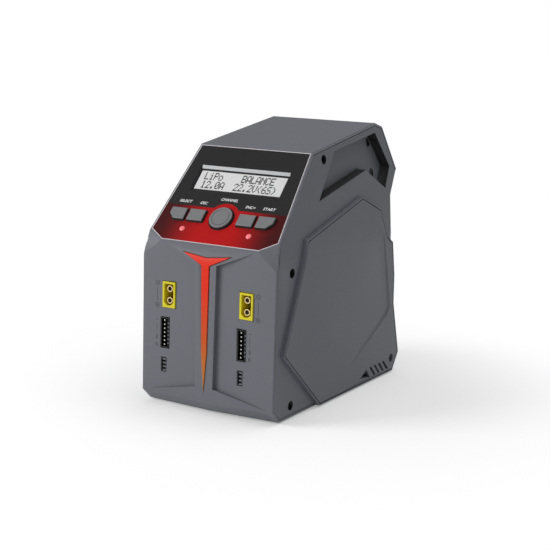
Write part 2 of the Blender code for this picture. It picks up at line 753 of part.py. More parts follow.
def make_screws(material, frame):
    for side, word in ((-1, "left"), (1, "right")):
        for number, (start, y, z, well) in enumerate(screw_places(side), 1):
            seat = start - side * (well - GAP)
            head = bar(seat, seat + side * (HEAD_THICK - GAP), y, z, HEAD_R)
            screw = add_object(f"cover_screw_{word}_{number}", head, material, frame)
            tip = start - side * SCREW_LENGTH
            join(screw, bar(tip, seat + side * 0.8 * MM, y, z, SCREW_R, 8))


# ---------------------------------------------------------------- control panel
def make_overlay(material, panel):
    outline = panel_outline(OVERLAY_MARGIN + GAP)
    overlay = add_object("panel_overlay", prism(outline, -OVERLAY_THICK, 0.0), material, panel)
    cut_panel_openings(overlay, panel)
    return overlay


def make_display(glass, module, panel):
    low, high = WINDOW_LOW + GAP, WINDOW_HIGH - GAP
    half = WINDOW_HALF - GAP
    top = DISPLAY_TOP + GAP + WINDOW_THICK
    lens = box((-half, low, DISPLAY_TOP + GAP), (half, high, top))
    add_object("display_window", lens, glass, panel)
    low_corner = (-half - DISPLAY_MARGIN, low - DISPLAY_MARGIN, DISPLAY_TOP - DISPLAY_THICK)
    high_corner = (half + DISPLAY_MARGIN, high + DISPLAY_MARGIN, DISPLAY_TOP)
    add_object("display_module", box(low_corner, high_corner), module, panel)


def make_key(name, material, panel):
    """Key cap with a retaining flange under the panel wall and a stem over its switch."""
    x = KEY_PLACES[name]
    axis = make_empty(f"{name}_axis", (x, KEY_ROW, 0.0), parent=panel)
    shift = Vector((-x, -KEY_ROW, 0.0))
    flange_top = -WALL - GAP
    cap = prism(key_outline(name, 0.0), flange_top - 0.6 * MM, KEY_PROUD)
    bmesh.ops.translate(cap, vec=shift, verts=cap.verts)
    key = add_object(name, cap, material, axis)
    flange = prism(key_outline(name, KEY_FLANGE), flange_top - 0.9 * MM, flange_top)
    bmesh.ops.translate(flange, vec=shift, verts=flange.verts)
    join(key, flange)
    stem_end = SWITCH_TOP + KEY_TRAVEL + GAP
    stem_start = flange_top - 0.5 * MM
    join(key, cylinder((0, 0, stem_end), STEM_R, stem_start - stem_end, "Z", 12))
    return key


def make_key_board(material, panel):
    low = (-OUTPUT_BOARD_HALF - 4.0 * MM, KEY_ROW - 12.0 * MM, BOARD_TOP - BOARD)
    high = (OUTPUT_BOARD_HALF + 4.0 * MM, WINDOW_LOW - 2.0 * MM, BOARD_TOP)
    board = add_object("key_board", box(low, high), material, panel)
    upper_low = (-33.5 * MM, WINDOW_LOW - 3.0 * MM, BOARD_TOP - BOARD)
    upper_high = (33.5 * MM, PANEL_LENGTH - 7.0 * MM, BOARD_TOP)
    join(board, box(upper_low, upper_high))
    half = SWITCH_SIZE / 2
    for x in KEY_PLACES.values():
        low = (x - half, KEY_ROW - half, BOARD_TOP - 0.5 * MM)
        high = (x + half, KEY_ROW + half, SWITCH_TOP - 0.6 * MM)
        join(board, box(low, high))
        start = (x, KEY_ROW, SWITCH_TOP - 1.0 * MM)
        join(board, cylinder(start, STEM_R, 1.0 * MM, "Z", 12))
    return board


def make_status_lights(material, panel):
    for side, word in ((-1, "left"), (1, "right")):
        start = (side * LIGHT_X, LIGHT_ROW, BOARD_TOP + GAP)
        length = 0.1 * MM - BOARD_TOP - GAP
        guide = cylinder(start, LIGHT_R, length, "Z", 16)
        add_object(f"status_light_{word}", guide, material, panel)


# ---------------------------------------------------------------- sockets
def socket_shell(name, x, z, size, wall, front, back, chamfer, material, frame):
    """Open-ended housing with its mouth at y = front; a chamfer cuts two corners of one end."""
    w, h = size[0] / 2, size[1] / 2
    outer = box((x - w, min(front, back), z - h), (x + w, max(front, back), z + h))
    shell = add_object(name, outer, material, frame)
    iw, ih = w - wall, h - wall
    hole = [(x - iw, z + ih), (x - iw, z - ih), (x + iw, z - ih), (x + iw, z + ih)]
    if chamfer:
        hole = [
            (x - iw, z + ih),
            (x - iw, z - ih + chamfer),
            (x - iw + chamfer, z - ih),
            (x + iw - chamfer, z - ih),
            (x + iw, z - ih + chamfer),
            (x + iw, z + ih),
        ]
    cut(shell, prism(hole, min(front, back) - MM, max(front, back) + MM, "XZ"))
    return shell


def pin_carrier(name, x, z, half, back, thick, pins, pin_shape, material, frame, out=-1):
    """Block that closes a socket's rear and carries its pins, which stand towards the mouth."""
    ends = sorted((back, back + out * thick))
    low = (x - half[0], ends[0], z - half[1])
    high = (x + half[0], ends[1], z + half[1])
    carrier = add_object(name, box(low, high), material, frame)
    join(carrier, together(*[pin_shape(x, z + dz) for dz in pins]))
    return carrier


def make_output_socket(word, x, yellow, gold, frame):
    name = f"output_socket_{word}"
    front = -OUTPUT_PROUD
    socket_shell(
        name, x, OUTPUT_Z, OUTPUT_SIZE, OUTPUT_WALL, front, SOCKET_REACH, 2.0 * MM, yellow, frame
    )
    half = (OUTPUT_SIZE[0] / 2 - OUTPUT_WALL - GAP, OUTPUT_SIZE[1] / 2 - OUTPUT_WALL - GAP)
    half = (half[0], half[1] - 2.0 * MM + 0.4 * MM)
    tip = front + 4.8 * MM
    root = SOCKET_REACH - 2.0 * MM

    def pin(px, pz):
        return cylinder((px, tip, pz), PIN_R, root - tip, "Y", 12)

    pins = (-PIN_PITCH / 2, PIN_PITCH / 2)
    carrier = f"output_contacts_{word}"
    pin_carrier(carrier, x, OUTPUT_Z, half, SOCKET_REACH, 3 * MM, pins, pin, gold, frame)


def make_balance_socket(word, x, black, steel, frame):
    x += BALANCE_SHIFT
    front = -GAP
    name = f"balance_socket_{word}"
    socket_shell(
        name, x, BALANCE_Z, BALANCE_SIZE, BALANCE_WALL, front, SOCKET_REACH, 0.0, black, frame
    )
    half = [size / 2 - BALANCE_WALL - GAP for size in BALANCE_SIZE]
    root = SOCKET_REACH - 2.0 * MM
    tip = front + 4.8 * MM
    w = 0.32 * MM

    def pin(px, pz):
        return box((px - w, tip, pz - w), (px + w, root, pz + w))

    middle = (BALANCE_PINS - 1) / 2
    pins = [(i - middle) * BALANCE_PITCH for i in range(BALANCE_PINS)]
    carrier = f"balance_pins_{word}"
    pin_carrier(carrier, x, BALANCE_Z, half, SOCKET_REACH, 3 * MM, pins, pin, steel, frame)


def make_sensor_port(word, x, black, frame):
    x += PORT_SHIFT
    w, h = PORT_SIZE[0] / 2, PORT_SIZE[1] / 2
    port = box((x - w, -0.1 * MM, PORT_Z - h), (x + w, SOCKET_REACH, PORT_Z + h))
    port = add_object(f"sensor_port_{word}", port, black, frame)
    wall = 0.7 * MM
    low = (x - w + wall, -MM, PORT_Z - h + wall)
    high = (x + w - wall, 6.0 * MM, PORT_Z + h - wall)
    cut(port, box(low, high))
    pin = 0.32 * MM
    middle = (PORT_PINS - 1) / 2
    for i in range(PORT_PINS):
        z = PORT_Z + (i - middle) * BALANCE_PITCH
        join(port, box((x - pin, 1.6 * MM, z - pin), (x + pin, 7.0 * MM, z + pin)))


# ---------------------------------------------------------------- rear panel and its pieces
def fan_pegs():
    half = FAN_SIZE / 2 - FAN_PEG_INSET
    return [(sx * half, FAN_Z + sz * half) for sx in (-1, 1) for sz in (-1, 1)]


def make_rear_panel(material, frame):
    half = side_x(REAR_PANEL_TOP) - WALL - 2 * GAP
    low = (-half, REAR_PANEL_Y, WALL + GAP)
    high = (half, REAR_FACE_Y, REAR_PANEL_TOP)
    panel = add_object("rear_panel", box(low, high), material, frame)
    cutters = []
    rows = 9
    pitch = 2 * FAN_BORE_R / rows
    for i in range(rows):
        z = (i - (rows - 1) / 2) * pitch
        reach = math.sqrt(FAN_BORE_R**2 - z**2) - 1.0 * MM
        thick = 1.9 * MM
        for x0, x1 in ((-reach, -1.3 * MM), (1.3 * MM, reach)):
            low = (x0, REAR_PANEL_Y - MM, FAN_Z + z - thick)
            high = (x1, REAR_FACE_Y + MM, FAN_Z + z + thick)
            cutters.append(box(low, high))
    for x, z, size in ((INLET_X, INLET_Z, INLET_SIZE), (DC_X, DC_Z, OUTPUT_SIZE)):
        w, h = size[0] / 2 + GAP, size[1] / 2 + GAP
        low = (x - w, REAR_PANEL_Y - MM, z - h)
        high = (x + w, REAR_FACE_Y + MM, z + h)
        cutters.append(box(low, high))
    cut(panel, together(*cutters))
    for x, z in fan_pegs():
        start = (x, REAR_PANEL_Y - 5.0 * MM, z)
        join(panel, cylinder(start, FAN_PEG_R, 6.0 * MM, "Y", 8))
    return panel


def make_fan(frame_material, rotor_material, frame):
    half = FAN_SIZE / 2
    back = REAR_PANEL_Y - GAP
    front = back - FAN_THICK
    body = box((-half, front, FAN_Z - half), (half, back, FAN_Z + half))
    fan = add_object("fan_frame", body, frame_material, frame)
    cut(fan, cylinder((0, front - MM, FAN_Z), FAN_BORE_R, FAN_THICK + 2 * MM, "Y", 28))
    hub_front = front
    strut = 2.0 * MM
    for across in (True, False):
        reach = FAN_BORE_R + 1.0 * MM
        low = (-reach, hub_front, FAN_Z - strut) if across else (-strut, hub_front, FAN_Z - reach)
        high = (reach, front + 2.4 * MM, FAN_Z + strut)
        if not across:
            high = (strut, front + 2.4 * MM, FAN_Z + reach)
        join(fan, box(low, high))
    join(fan, cylinder((0, hub_front, FAN_Z), FAN_HUB_R, 2.4 * MM, "Y", 24))
    holes = [
        cylinder((x, front - MM, z), FAN_PEG_R + GAP, FAN_THICK + 2 * MM, "Y", 8)
        for x, z in fan_pegs()
    ]
    cut(fan, together(*holes))
    make_fan_rotor(rotor_material, frame, front + 2.4 * MM + GAP, back - 1.0 * MM)


def make_fan_rotor(material, frame, front, back):
    """Hub with twisted blades, turning about the fan's Y axis."""
    axis = make_empty("fan_axis", (0.0, front, FAN_Z), parent=frame)
    length = back - front
    rotor = add_object("fan_rotor", cylinder((0, 0, 0), FAN_HUB_R, length, "Y", 28), material, axis)
    tip = FAN_BORE_R - 0.9 * MM
    root = FAN_HUB_R - 1.0 * MM
    for i in range(FAN_BLADES):
        bm = bmesh.new()
        low, high = 0.8 * MM, length - 0.8 * MM
        thick = 1.1 * MM
        rows = []
        for radius, sweep in ((root, 0.0), ((root + tip) / 2, 0.10), (tip, 0.2)):
            turn = 0.34 * root / radius + 0.26
            first, last = sweep - turn, sweep + turn
            ring = []
            for angle, y in ((first, low), (last, high - thick), (last, high), (first, low + thick)):
                ring.append(bm.verts.new((radius * math.sin(angle), y, radius * math.cos(angle))))
            rows.append(ring)
        for a, b in zip(rows, rows[1:]):
            for j in range(4):
                bm.faces.new((a[j], a[(j + 1) % 4], b[(j + 1) % 4], b[j]))
        bm.faces.new(reversed(rows[0]))
        bm.faces.new(rows[-1])
        turn = Matrix.Rotation(2 * math.pi * i / FAN_BLADES, 3, "Y")
        bmesh.ops.rotate(bm, matrix=turn, verts=bm.verts)
        bmesh.ops.recalc_face_normals(bm, faces=bm.faces)
        join(rotor, bm)
    return rotor


def make_mains_inlet(material, frame):
    """Panel-mounted mains inlet: flange outside the panel, body inside, three blade pins."""
    w, h = INLET_SIZE[0] / 2, INLET_SIZE[1] / 2
    flange_y = REAR_FACE_Y + GAP
    low = (INLET_X - w, flange_y + MM - INLET_BODY_LENGTH, INLET_Z - h)
    high = (INLET_X + w, flange_y + MM, INLET_Z + h)
    inlet = add_object("mains_inlet", box(low, high), material, frame)
    edge = 2.0 * MM
    low = (INLET_X - w - edge, flange_y, INLET_Z - h - edge)
    high = (INLET_X + w + edge, flange_y + 2.0 * MM, INLET_Z + h + edge)
    join(inlet, box(low, high))
    cw, ch, cc = 12.0 * MM, 8.0 * MM, 4.5 * MM
    outline = [(-cw, -ch), (cw, -ch), (cw, ch - cc), (cw - cc, ch), (-cw + cc, ch), (-cw, ch - cc)]
    outline = [(INLET_X + a, INLET_Z + b) for a, b in outline]
    floor = flange_y - 14.0 * MM
    cut(inlet, prism(outline, floor, flange_y + 3.0 * MM, "XZ"))
    for dx, dz in ((-7.0 * MM, -2.0 * MM), (7.0 * MM, -2.0 * MM), (0.0, 2.0 * MM)):
        x, z = INLET_X + dx, INLET_Z + dz
        low = (x - 1.0 * MM, floor - MM, z - 2.0 * MM)
        high = (x + 1.0 * MM, flange_y - 4.0 * MM, z + 2.0 * MM)
        join(inlet, box(low, high))


def make_dc_input(yellow, gold, frame):
    mouth = REAR_FACE_Y + 2.0 * MM
    back = mouth - 13.0 * MM
    size = OUTPUT_SIZE
    socket_shell(
        "dc_input_socket", DC_X, DC_Z, size, OUTPUT_WALL, mouth, back, 2.0 * MM, yellow, frame
    )
    half = (size[0] / 2 - OUTPUT_WALL - GAP, size[1] / 2 - OUTPUT_WALL - 1.6 * MM - GAP)

    def pin(px, pz):
        return cylinder((px, back + 2.0 * MM, pz), PIN_R, 6.2 * MM, "Y", 12)

    pins = (-PIN_PITCH / 2, PIN_PITCH / 2)
    name = "dc_input_contacts"
    pin_carrier(name, DC_X, DC_Z, half, back, 3 * MM, pins, pin, gold, frame, out=1)


# ---------------------------------------------------------------- boards and parts on them
def make_boards(material, frame):
    half = OUTPUT_BOARD_HALF
    y = SOCKET_REACH + GAP
    board = box((-half, y, 14.0 * MM), (half, y + BOARD, OUTPUT_Z + 14.0 * MM))
    add_object("output_board", board, material, frame)
    half = MAIN_BOARD_HALF
    low = (-half, 22.0 * MM, MAIN_BOARD_Z)
    high = (half, DEPTH - 40.0 * MM, MAIN_BOARD_Z + BOARD)
    add_object("main_board", box(low, high), material, frame)
    low = (-38.0 * MM, 28.0 * MM, POWER_BOARD_Z)
    high = (38.0 * MM, DEPTH - 44.0 * MM, POWER_BOARD_Z + BOARD)
    add_object("power_board", box(low, high), material, frame)


def make_power_parts(dark, copper, blue, frame):
    top = POWER_BOARD_Z + BOARD + GAP
    core = box((-34.0 * MM, 46.0 * MM, top), (-2.0 * MM, 80.0 * MM, top + 26.0 * MM))
    transformer = add_object("transformer", core, dark, frame)
    winding_low = (-36.5 * MM, 52.0 * MM, top + 4.0 * MM)
    winding_high = (0.5 * MM, 74.0 * MM, top + 22.0 * MM)
    join(transformer, box(winding_low, winding_high))
    coil = cylinder((18.0 * MM, 46.0 * MM, top), 11.0 * MM, 12.0 * MM, "Z", 24)
    coil = add_object("filter_coil", coil, copper, frame)
    cut(coil, cylinder((18.0 * MM, 46.0 * MM, top - MM), 4.5 * MM, 14.0 * MM, "Z", 16))
    for number, y in enumerate((70.0 * MM, 92.0 * MM), 1):
        can = cylinder((18.0 * MM, y, top), 9.0 * MM, 32.0 * MM, "Z", 24)
        add_object(f"bulk_capacitor_{number}", can, blue, frame)


def make_heatsinks(material, frame):
    low_z = MAIN_BOARD_Z + BOARD + GAP
    fins, pitch, fin = 5, 5.2 * MM, 1.4 * MM
    for side, word in ((-1, "left"), (1, "right")):
        inner, outer = sorted((side * 12.0 * MM, side * 34.2 * MM))
        low = (inner, 50.0 * MM, low_z)
        high = (outer, DEPTH - 50.0 * MM, low_z + 3.0 * MM)
        sink = add_object(f"heatsink_{word}", box(low, high), material, frame)
        for i in range(fins):
            x = inner + i * pitch
            fin_low = (x, 50.0 * MM, low_z + 2.0 * MM)
            fin_high = (x + fin, DEPTH - 50.0 * MM, low_z + 20.0 * MM)
            join(sink, box(fin_low, fin_high))


def make_buzzer(material, frame):
    start = (0.0, DEPTH - 60.0 * MM, MAIN_BOARD_Z + BOARD + GAP)
    buzzer = add_object("buzzer", cylinder(start, 6.0 * MM, 8.5 * MM, "Z", 20), material, frame)
    sound = (start[0], start[1], start[2] + 6.5 * MM)
    cut(buzzer, cylinder(sound, 1.2 * MM, 4.0 * MM, "Z", 10))


def make_ribbon(material, frame):
    """Flat cable that curves from the key board's underside down to the main board."""
    depth = -(BOARD_TOP - BOARD - GAP)
    along = 16.0 * MM
    cos, sin = math.cos(PANEL_SLOPE), math.sin(PANEL_SLOPE)
    start = Vector((along * cos + depth * sin, FRONT_TOP_Z + along * sin - depth * cos))
    end = Vector((start.x + 9.0 * MM, MAIN_BOARD_Z + BOARD + GAP))
    pull_start = start + Vector((sin, -cos)) * 9.0 * MM
    pull_end = end + Vector((0.0, 16.0 * MM))
    steps = 10
    centre = []
    for i in range(steps + 1):
        t = i / steps
        u = 1 - t
        centre.append(
            start * u**3 + pull_start * 3 * u * u * t + pull_end * 3 * u * t * t + end * t**3
        )
    half = 0.45 * MM
    left, right = [], []
    for i, point in enumerate(centre):
        before = centre[max(i - 1, 0)]
        after = centre[min(i + 1, steps)]
        along_cable = (after - before).normalized()
        if i == 0:
            along_cable = Vector((sin, -cos))
        if i == steps:
            along_cable = Vector((0.0, -1.0))
        across = Vector((-along_cable.y, along_cable.x)) * half
        left.append(tuple(point + across))
        right.append(tuple(point - across))
    outline = left + right[::-1]
    add_object("ribbon_cable", prism(outline, -12.0 * MM, 12.0 * MM, "YZ"), material, frame)


def make_feet(material, frame):
    names = ("front_left", "rear_left", "front_right", "rear_right")
    for name, (x, y) in zip(names, foot_places()):
        start = (x, y, -FOOT_STAND)
        length = FOOT_STAND + FOOT_SINK - GAP
        add_object(f"foot_{name}", cylinder(start, FOOT_R, length), material, frame)


# ---------------------------------------------------------------- assembly
def main():
    clear_scene()
    body_grey = make_material("housing_grey", (0.155, 0.16, 0.185), 0.55)
    side_grey = make_material("cover_grey", (0.075, 0.08, 0.09), 0.55)
    panel_red = make_material("overlay_red", (0.55, 0.01, 0.01), 0.35)
    key_grey = make_material("key_grey", (0.22, 0.22, 0.23), 0.5)
    orange = make_material("insert_orange", (0.9, 0.12, 0.01), 0.4)
    yellow = make_material("socket_yellow", (0.85, 0.75, 0.03), 0.4)
    black = make_material("black_plastic", (0.012, 0.012, 0.013), 0.5)
    gold = make_material("gold_contact", (0.8, 0.55, 0.2), 0.3, 1.0)
    steel = make_material("steel", (0.5, 0.5, 0.5), 0.35, 1.0)
    dark_steel = make_material("dark_steel", (0.05, 0.05, 0.05), 0.4, 1.0)
    glass = make_material("clear_window", (0.9, 0.92, 0.9), 0.1, 0.0, 0.35)
    display = make_material("display_white", (0.75, 0.77, 0.75), 0.4)
    light = make_material("light_guide", (0.95, 0.5, 0.5), 0.3)
    board_green = make_material("circuit_board", (0.01, 0.12, 0.05), 0.5)
    copper = make_material("copper_winding", (0.6, 0.25, 0.08), 0.4, 1.0)
    blue = make_material("capacitor_sleeve", (0.02, 0.03, 0.12), 0.4)
    aluminium = make_material("aluminium", (0.6, 0.6, 0.62), 0.4, 1.0)
    ribbon = make_material("ribbon_grey", (0.4, 0.4, 0.42), 0.6)
    rubber = make_material("foot_rubber", (0.015, 0.015, 0.015), 0.85)

    frame = make_empty("body_frame", (0.0, FRONT_Y, FOOT_STAND))
    foot = (0.0, 0.0, FRONT_TOP_Z)
    panel = make_empty("panel_frame", foot, (PANEL_SLOPE, 0.0, 0.0), frame)

    recess = prism(panel_outline(OVERLAY_MARGIN), -OVERLAY_RECESS, 5.0 * MM)
    overlay_cutter = operand("overlay_recess", recess, panel)
    make_housing(body_grey, frame, panel, overlay_cutter)
    for side, word in ((-1, "left"), (1, "right")):
        make_cover(f"{word}_side_cover", side, side_grey, frame)
        make_side_plate(f"{word}_side_plate", side, side_grey, frame)
    make_screws(dark_steel, frame)

    make_overlay(panel_red, panel)
    make_display(glass, display, panel)
    for name in KEY_PLACES:
        make_key(name, key_grey, panel)
    make_key_board(board_green, panel)
    make_status_lights(light, panel)
    insert = on_spine(insert_outline(0.0), INSERT_PROUD, INSERT_DEPTH)
    add_object("front_insert", insert, orange, frame)

    for side, word in ((-1, "left"), (1, "right")):
        x = side * CHANNEL_X
        make_output_socket(word, x, yellow, gold, frame)
        make_balance_socket(word, x, black, steel, frame)
        make_sensor_port(word, x, black, frame)

    make_rear_panel(side_grey, frame)
    make_fan(black, black, frame)
    make_mains_inlet(black, frame)
    make_dc_input(yellow, gold, frame)

    make_boards(board_green, frame)
    make_power_parts(dark_steel, copper, blue, frame)
    make_heatsinks(aluminium, frame)
    make_buzzer(black, frame)
    make_ribbon(ribbon, frame)
    make_feet(rubber, frame)


main()
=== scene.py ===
"""Balance battery charger: finished surfaces, markings and studio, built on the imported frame."""

import json
import math

import bmesh
import bpy
from mathutils import Matrix, Vector

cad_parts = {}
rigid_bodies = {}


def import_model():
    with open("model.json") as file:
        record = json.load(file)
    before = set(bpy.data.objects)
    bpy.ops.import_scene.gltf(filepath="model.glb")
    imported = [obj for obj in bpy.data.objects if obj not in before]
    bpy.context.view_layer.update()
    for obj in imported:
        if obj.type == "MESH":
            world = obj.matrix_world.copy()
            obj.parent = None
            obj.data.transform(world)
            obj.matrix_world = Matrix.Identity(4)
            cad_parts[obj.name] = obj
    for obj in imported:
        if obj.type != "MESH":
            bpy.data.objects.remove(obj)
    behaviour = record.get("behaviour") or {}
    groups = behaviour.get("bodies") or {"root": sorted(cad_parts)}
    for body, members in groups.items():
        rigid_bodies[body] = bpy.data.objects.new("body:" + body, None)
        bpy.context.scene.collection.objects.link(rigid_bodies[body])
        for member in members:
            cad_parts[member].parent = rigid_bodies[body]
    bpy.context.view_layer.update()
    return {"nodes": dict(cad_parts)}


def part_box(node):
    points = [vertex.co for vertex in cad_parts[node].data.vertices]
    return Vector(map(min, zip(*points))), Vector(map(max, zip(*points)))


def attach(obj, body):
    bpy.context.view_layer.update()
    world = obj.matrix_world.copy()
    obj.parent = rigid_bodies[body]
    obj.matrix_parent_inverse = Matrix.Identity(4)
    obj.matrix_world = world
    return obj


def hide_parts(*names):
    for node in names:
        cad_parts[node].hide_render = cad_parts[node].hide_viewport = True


bl_info = {
    "name": "Balance battery charger",
    "version": (1, 0, 0),
    "blender": (4, 5, 0),
    "location": "View3D > Sidebar > Charger",
    "description": "Builds the finished surfaces of a desktop balance battery charger",
    "category": "Object",
}

for startup in list(bpy.data.objects):
    bpy.data.objects.remove(startup)
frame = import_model()

MM = 0.001
BODY = "charger"
SIDES = ((-1, "left"), (1, "right"))

# Where the charger's own faces lie, in millimetres from its design origin.
FRONT_TOP = 102.2  # height where the front meets the sloped panel
PANEL_TILT = math.radians(46.4)
PANEL_FOOT_HALF = 34.3
PANEL_RUN_UP = 74.9
BEND = 96.3  # the sides lean in above this height
LEAN = 0.113
HALF_WIDTH = 46.8
PLATE_PROUD = 2.7
OUTPUT_Z = 69.3
CHANNEL_X = 27.4
KEY_ROW = 20.0
FOOT_LIFT = 1.0
CORNER_RISE = 7.2  # panel side corners, up the slope
# The outer ends, (x, y, z), of the facet on an upper front corner.
FACET_ENDS = (Vector((HALF_WIDTH, 0.0, 91.6)), Vector((45.54, 4.97, 107.41)))
CONTACT_RISE = 3.6  # an output contact above or below its socket's middle
BALANCE_Z = 45.4
BALANCE_PITCH = 2.5
PORT_Z = 25.4
PORT_PITCH = 2.3
INLET_Z = 30.0

SPINE_PROUD = 2.6
FRONT_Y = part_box("centre_housing")[0].y / MM + SPINE_PROUD
ORIGIN = Vector((0.0, FRONT_Y, FOOT_LIFT)) * MM
# (along Y, along Z, along X) in millimetres to metres.
FACING_SIDE = Matrix(((0, 0, MM, 0), (MM, 0, 0, 0), (0, MM, 0, 0), (0, 0, 0, 1)))
# (u, v, out) on the front face and on the sloped panel to world metres.
ON_FRONT = Matrix.Translation(ORIGIN) @ Matrix.Rotation(math.pi / 2, 4, "X") @ Matrix.Scale(MM, 4)
ON_PANEL = (
    Matrix.Translation(ORIGIN + Vector((0.0, 0.0, FRONT_TOP * MM)))
    @ Matrix.Rotation(PANEL_TILT, 4, "X")
    @ Matrix.Scale(MM, 4)
)


FLOOR_LIFT = 0.3  # light added to the floor where it is seen directly
INK_LOW = 0.004  # the print's underside, over the surface it is on


def srgb(red, green, blue):
    """Linear colour of three screen values from 0 to 255."""
    values = [v / 255 for v in (red, green, blue)]
    return tuple(v / 12.92 if v <= 0.04045 else ((v + 0.055) / 1.055) ** 2.4 for v in values)


# ---------------------------------------------------------------- settings
def colour_setting(name, description, default):
    return bpy.props.FloatVectorProperty(
        name=name,
        description=description,
        subtype="COLOR",
        size=3,
        min=0.0,
        max=1.0,
        default=default,
    )


def length_setting(name, description, default):
    return bpy.props.FloatProperty(
        name=name, description=description, unit="LENGTH", min=0.0, default=default
    )


class ChargerCaseSettings(bpy.types.PropertyGroup):
    case_colour: colour_setting("Case", "Centre housing plastic", srgb(108, 110, 118))
    cover_colour: colour_setting("Covers", "Side cover plastic", srgb(104, 107, 114))
    # The pocket walls' colour is painted shade: darker than the case, standing for the shade inside
    # the grip pockets.
    pocket_shade_colour: colour_setting("Pocket walls", "Walls of the grip pockets", srgb(38, 38, 40))
    edge_round: length_setting("Edge rounding", "Radius on the case's outer edges", 0.0004)
    relief_depth: length_setting("Plate relief", "Depth of the side plates' relief", 0.0011)


class ChargerPanelSettings(bpy.types.PropertyGroup):
    film_black: colour_setting("Film black", "Upper part of the panel film", srgb(38, 38, 39))
    film_red: colour_setting("Film red", "Lower part of the panel film", srgb(186, 0, 4))
    film_dark_red: colour_setting("Film dark red", "Red towards the sides", srgb(70, 0, 4))
    key_colour: colour_setting("Keys", "Key caps", srgb(124, 125, 127))
    # The key walls' darker grey is painted shade on the keys' sides; caps and walls are one
    # plastic.
    key_side_shade_colour: colour_setting("Key walls", "Side walls of the keys", srgb(52, 52, 54))
    screen_colour: colour_setting("Screen", "Lit area of the display", srgb(222, 223, 222))
    label_colour: colour_setting("Labels", "Printed words", srgb(232, 232, 234))
    # The pale border line is a painted highlight of the case's edge round the panel.
    line_width: length_setting("Border line", "Width of the panel's pale border", 0.0005)


class ChargerSocketSettings(bpy.types.PropertyGroup):
    socket_yellow: colour_setting("Socket", "Output socket plastic", srgb(228, 214, 22))
    contact_gold: colour_setting("Contacts", "Plated contacts", srgb(235, 205, 150))
    mark_colour: colour_setting("Marks", "Printed marks beside the sockets", srgb(58, 60, 66))
    accent_top: colour_setting("Accent top", "Insert colour at its top", srgb(238, 42, 4))
    accent_middle: colour_setting("Accent middle", "Insert colour half way", srgb(208, 88, 26))
    accent_foot: colour_setting("Accent foot", "Insert colour at its tip", srgb(192, 130, 56))


class ChargerStageSettings(bpy.types.PropertyGroup):
    floor_colour: colour_setting("Floor", "Studio floor", (0.92, 0.92, 0.92))
    key_power: bpy.props.FloatProperty(
        name="Main lamp", description="Soft lamp at the front left", unit="POWER", default=11.0
    )
    top_power: bpy.props.FloatProperty(
        name="Top lamp", description="Soft lamp overhead", unit="POWER", default=3.5
    )
    room_light: bpy.props.FloatProperty(
        name="Room light", description="Even light from all round", default=0.33, min=0.0
    )


def settings(name):
    return getattr(bpy.context.scene, f"charger_{name}")


# ---------------------------------------------------------------- materials
def add_node(tree, kind, **inputs):
    node = tree.nodes.new(kind)
    for name, value in inputs.items():
        node.inputs[name].default_value = value
    return node


def moulded_grain():
    """Node group: fine height and slow tone of a moulded or painted surface."""
    known = bpy.data.node_groups.get("moulded_grain")
    if known:
        return known
    group = bpy.data.node_groups.new("moulded_grain", "ShaderNodeTree")
    group.interface.new_socket("Scale", in_out="INPUT", socket_type="NodeSocketFloat")
    group.interface.new_socket("Height", in_out="OUTPUT", socket_type="NodeSocketFloat")
    group.interface.new_socket("Tone", in_out="OUTPUT", socket_type="NodeSocketFloat")
    given = group.nodes.new("NodeGroupInput")
    result = group.nodes.new("NodeGroupOutput")
    place = group.nodes.new("ShaderNodeTexCoord")
    fine = add_node(group, "ShaderNodeTexNoise", Detail=3.0, Roughness=0.6)
    broad = add_node(group, "ShaderNodeTexNoise", Scale=22.0, Detail=2.0)
    for noise in (fine, broad):
        group.links.new(place.outputs["Object"], noise.inputs["Vector"])
    group.links.new(given.outputs["Scale"], fine.inputs["Scale"])
    group.links.new(fine.outputs[0], result.inputs["Height"])
    group.links.new(broad.outputs[0], result.inputs["Tone"])
    return group


def blend_colours(tree, mask, first, second):
    """Mix node between two colours, either of which may be a socket."""
    mix = tree.nodes.new("ShaderNodeMix")
    mix.data_type = "RGBA"
    mix.clamp_factor = True
    tree.links.new(mask, mix.inputs["Factor"])
    for socket, value in ((mix.inputs[6], first), (mix.inputs[7], second)):
        if isinstance(value, bpy.types.NodeSocket):
            tree.links.new(value, socket)
        else:
            socket.default_value = (*value, 1.0)
    return mix.outputs[2]


def object_axes(tree):
    """The X, Y and Z outputs of a point's place in its object."""
    place = tree.nodes.new("ShaderNodeTexCoord")
    parts = tree.nodes.new("ShaderNodeSeparateXYZ")
    tree.links.new(place.outputs["Object"], parts.inputs["Vector"])
    return parts.outputs


def map_range(tree, value, low, high, to_low=0.0, to_high=1.0, smooth=False):
    node = tree.nodes.new("ShaderNodeMapRange")
    node.interpolation_type = "SMOOTHSTEP" if smooth else "LINEAR"
    for index, number in enumerate((low, high, to_low, to_high), 1):
        node.inputs[index].default_value = number
    tree.links.new(value, node.inputs[0])
    return node.outputs[0]


def maths(tree, operation, first, second=0.0):
    node = tree.nodes.new("ShaderNodeMath")
    node.operation = operation
    for socket, value in zip(node.inputs, (first, second)):
        if isinstance(value, bpy.types.NodeSocket):
            tree.links.new(value, socket)
        else:
            socket.default_value = value
    return node.outputs[0]


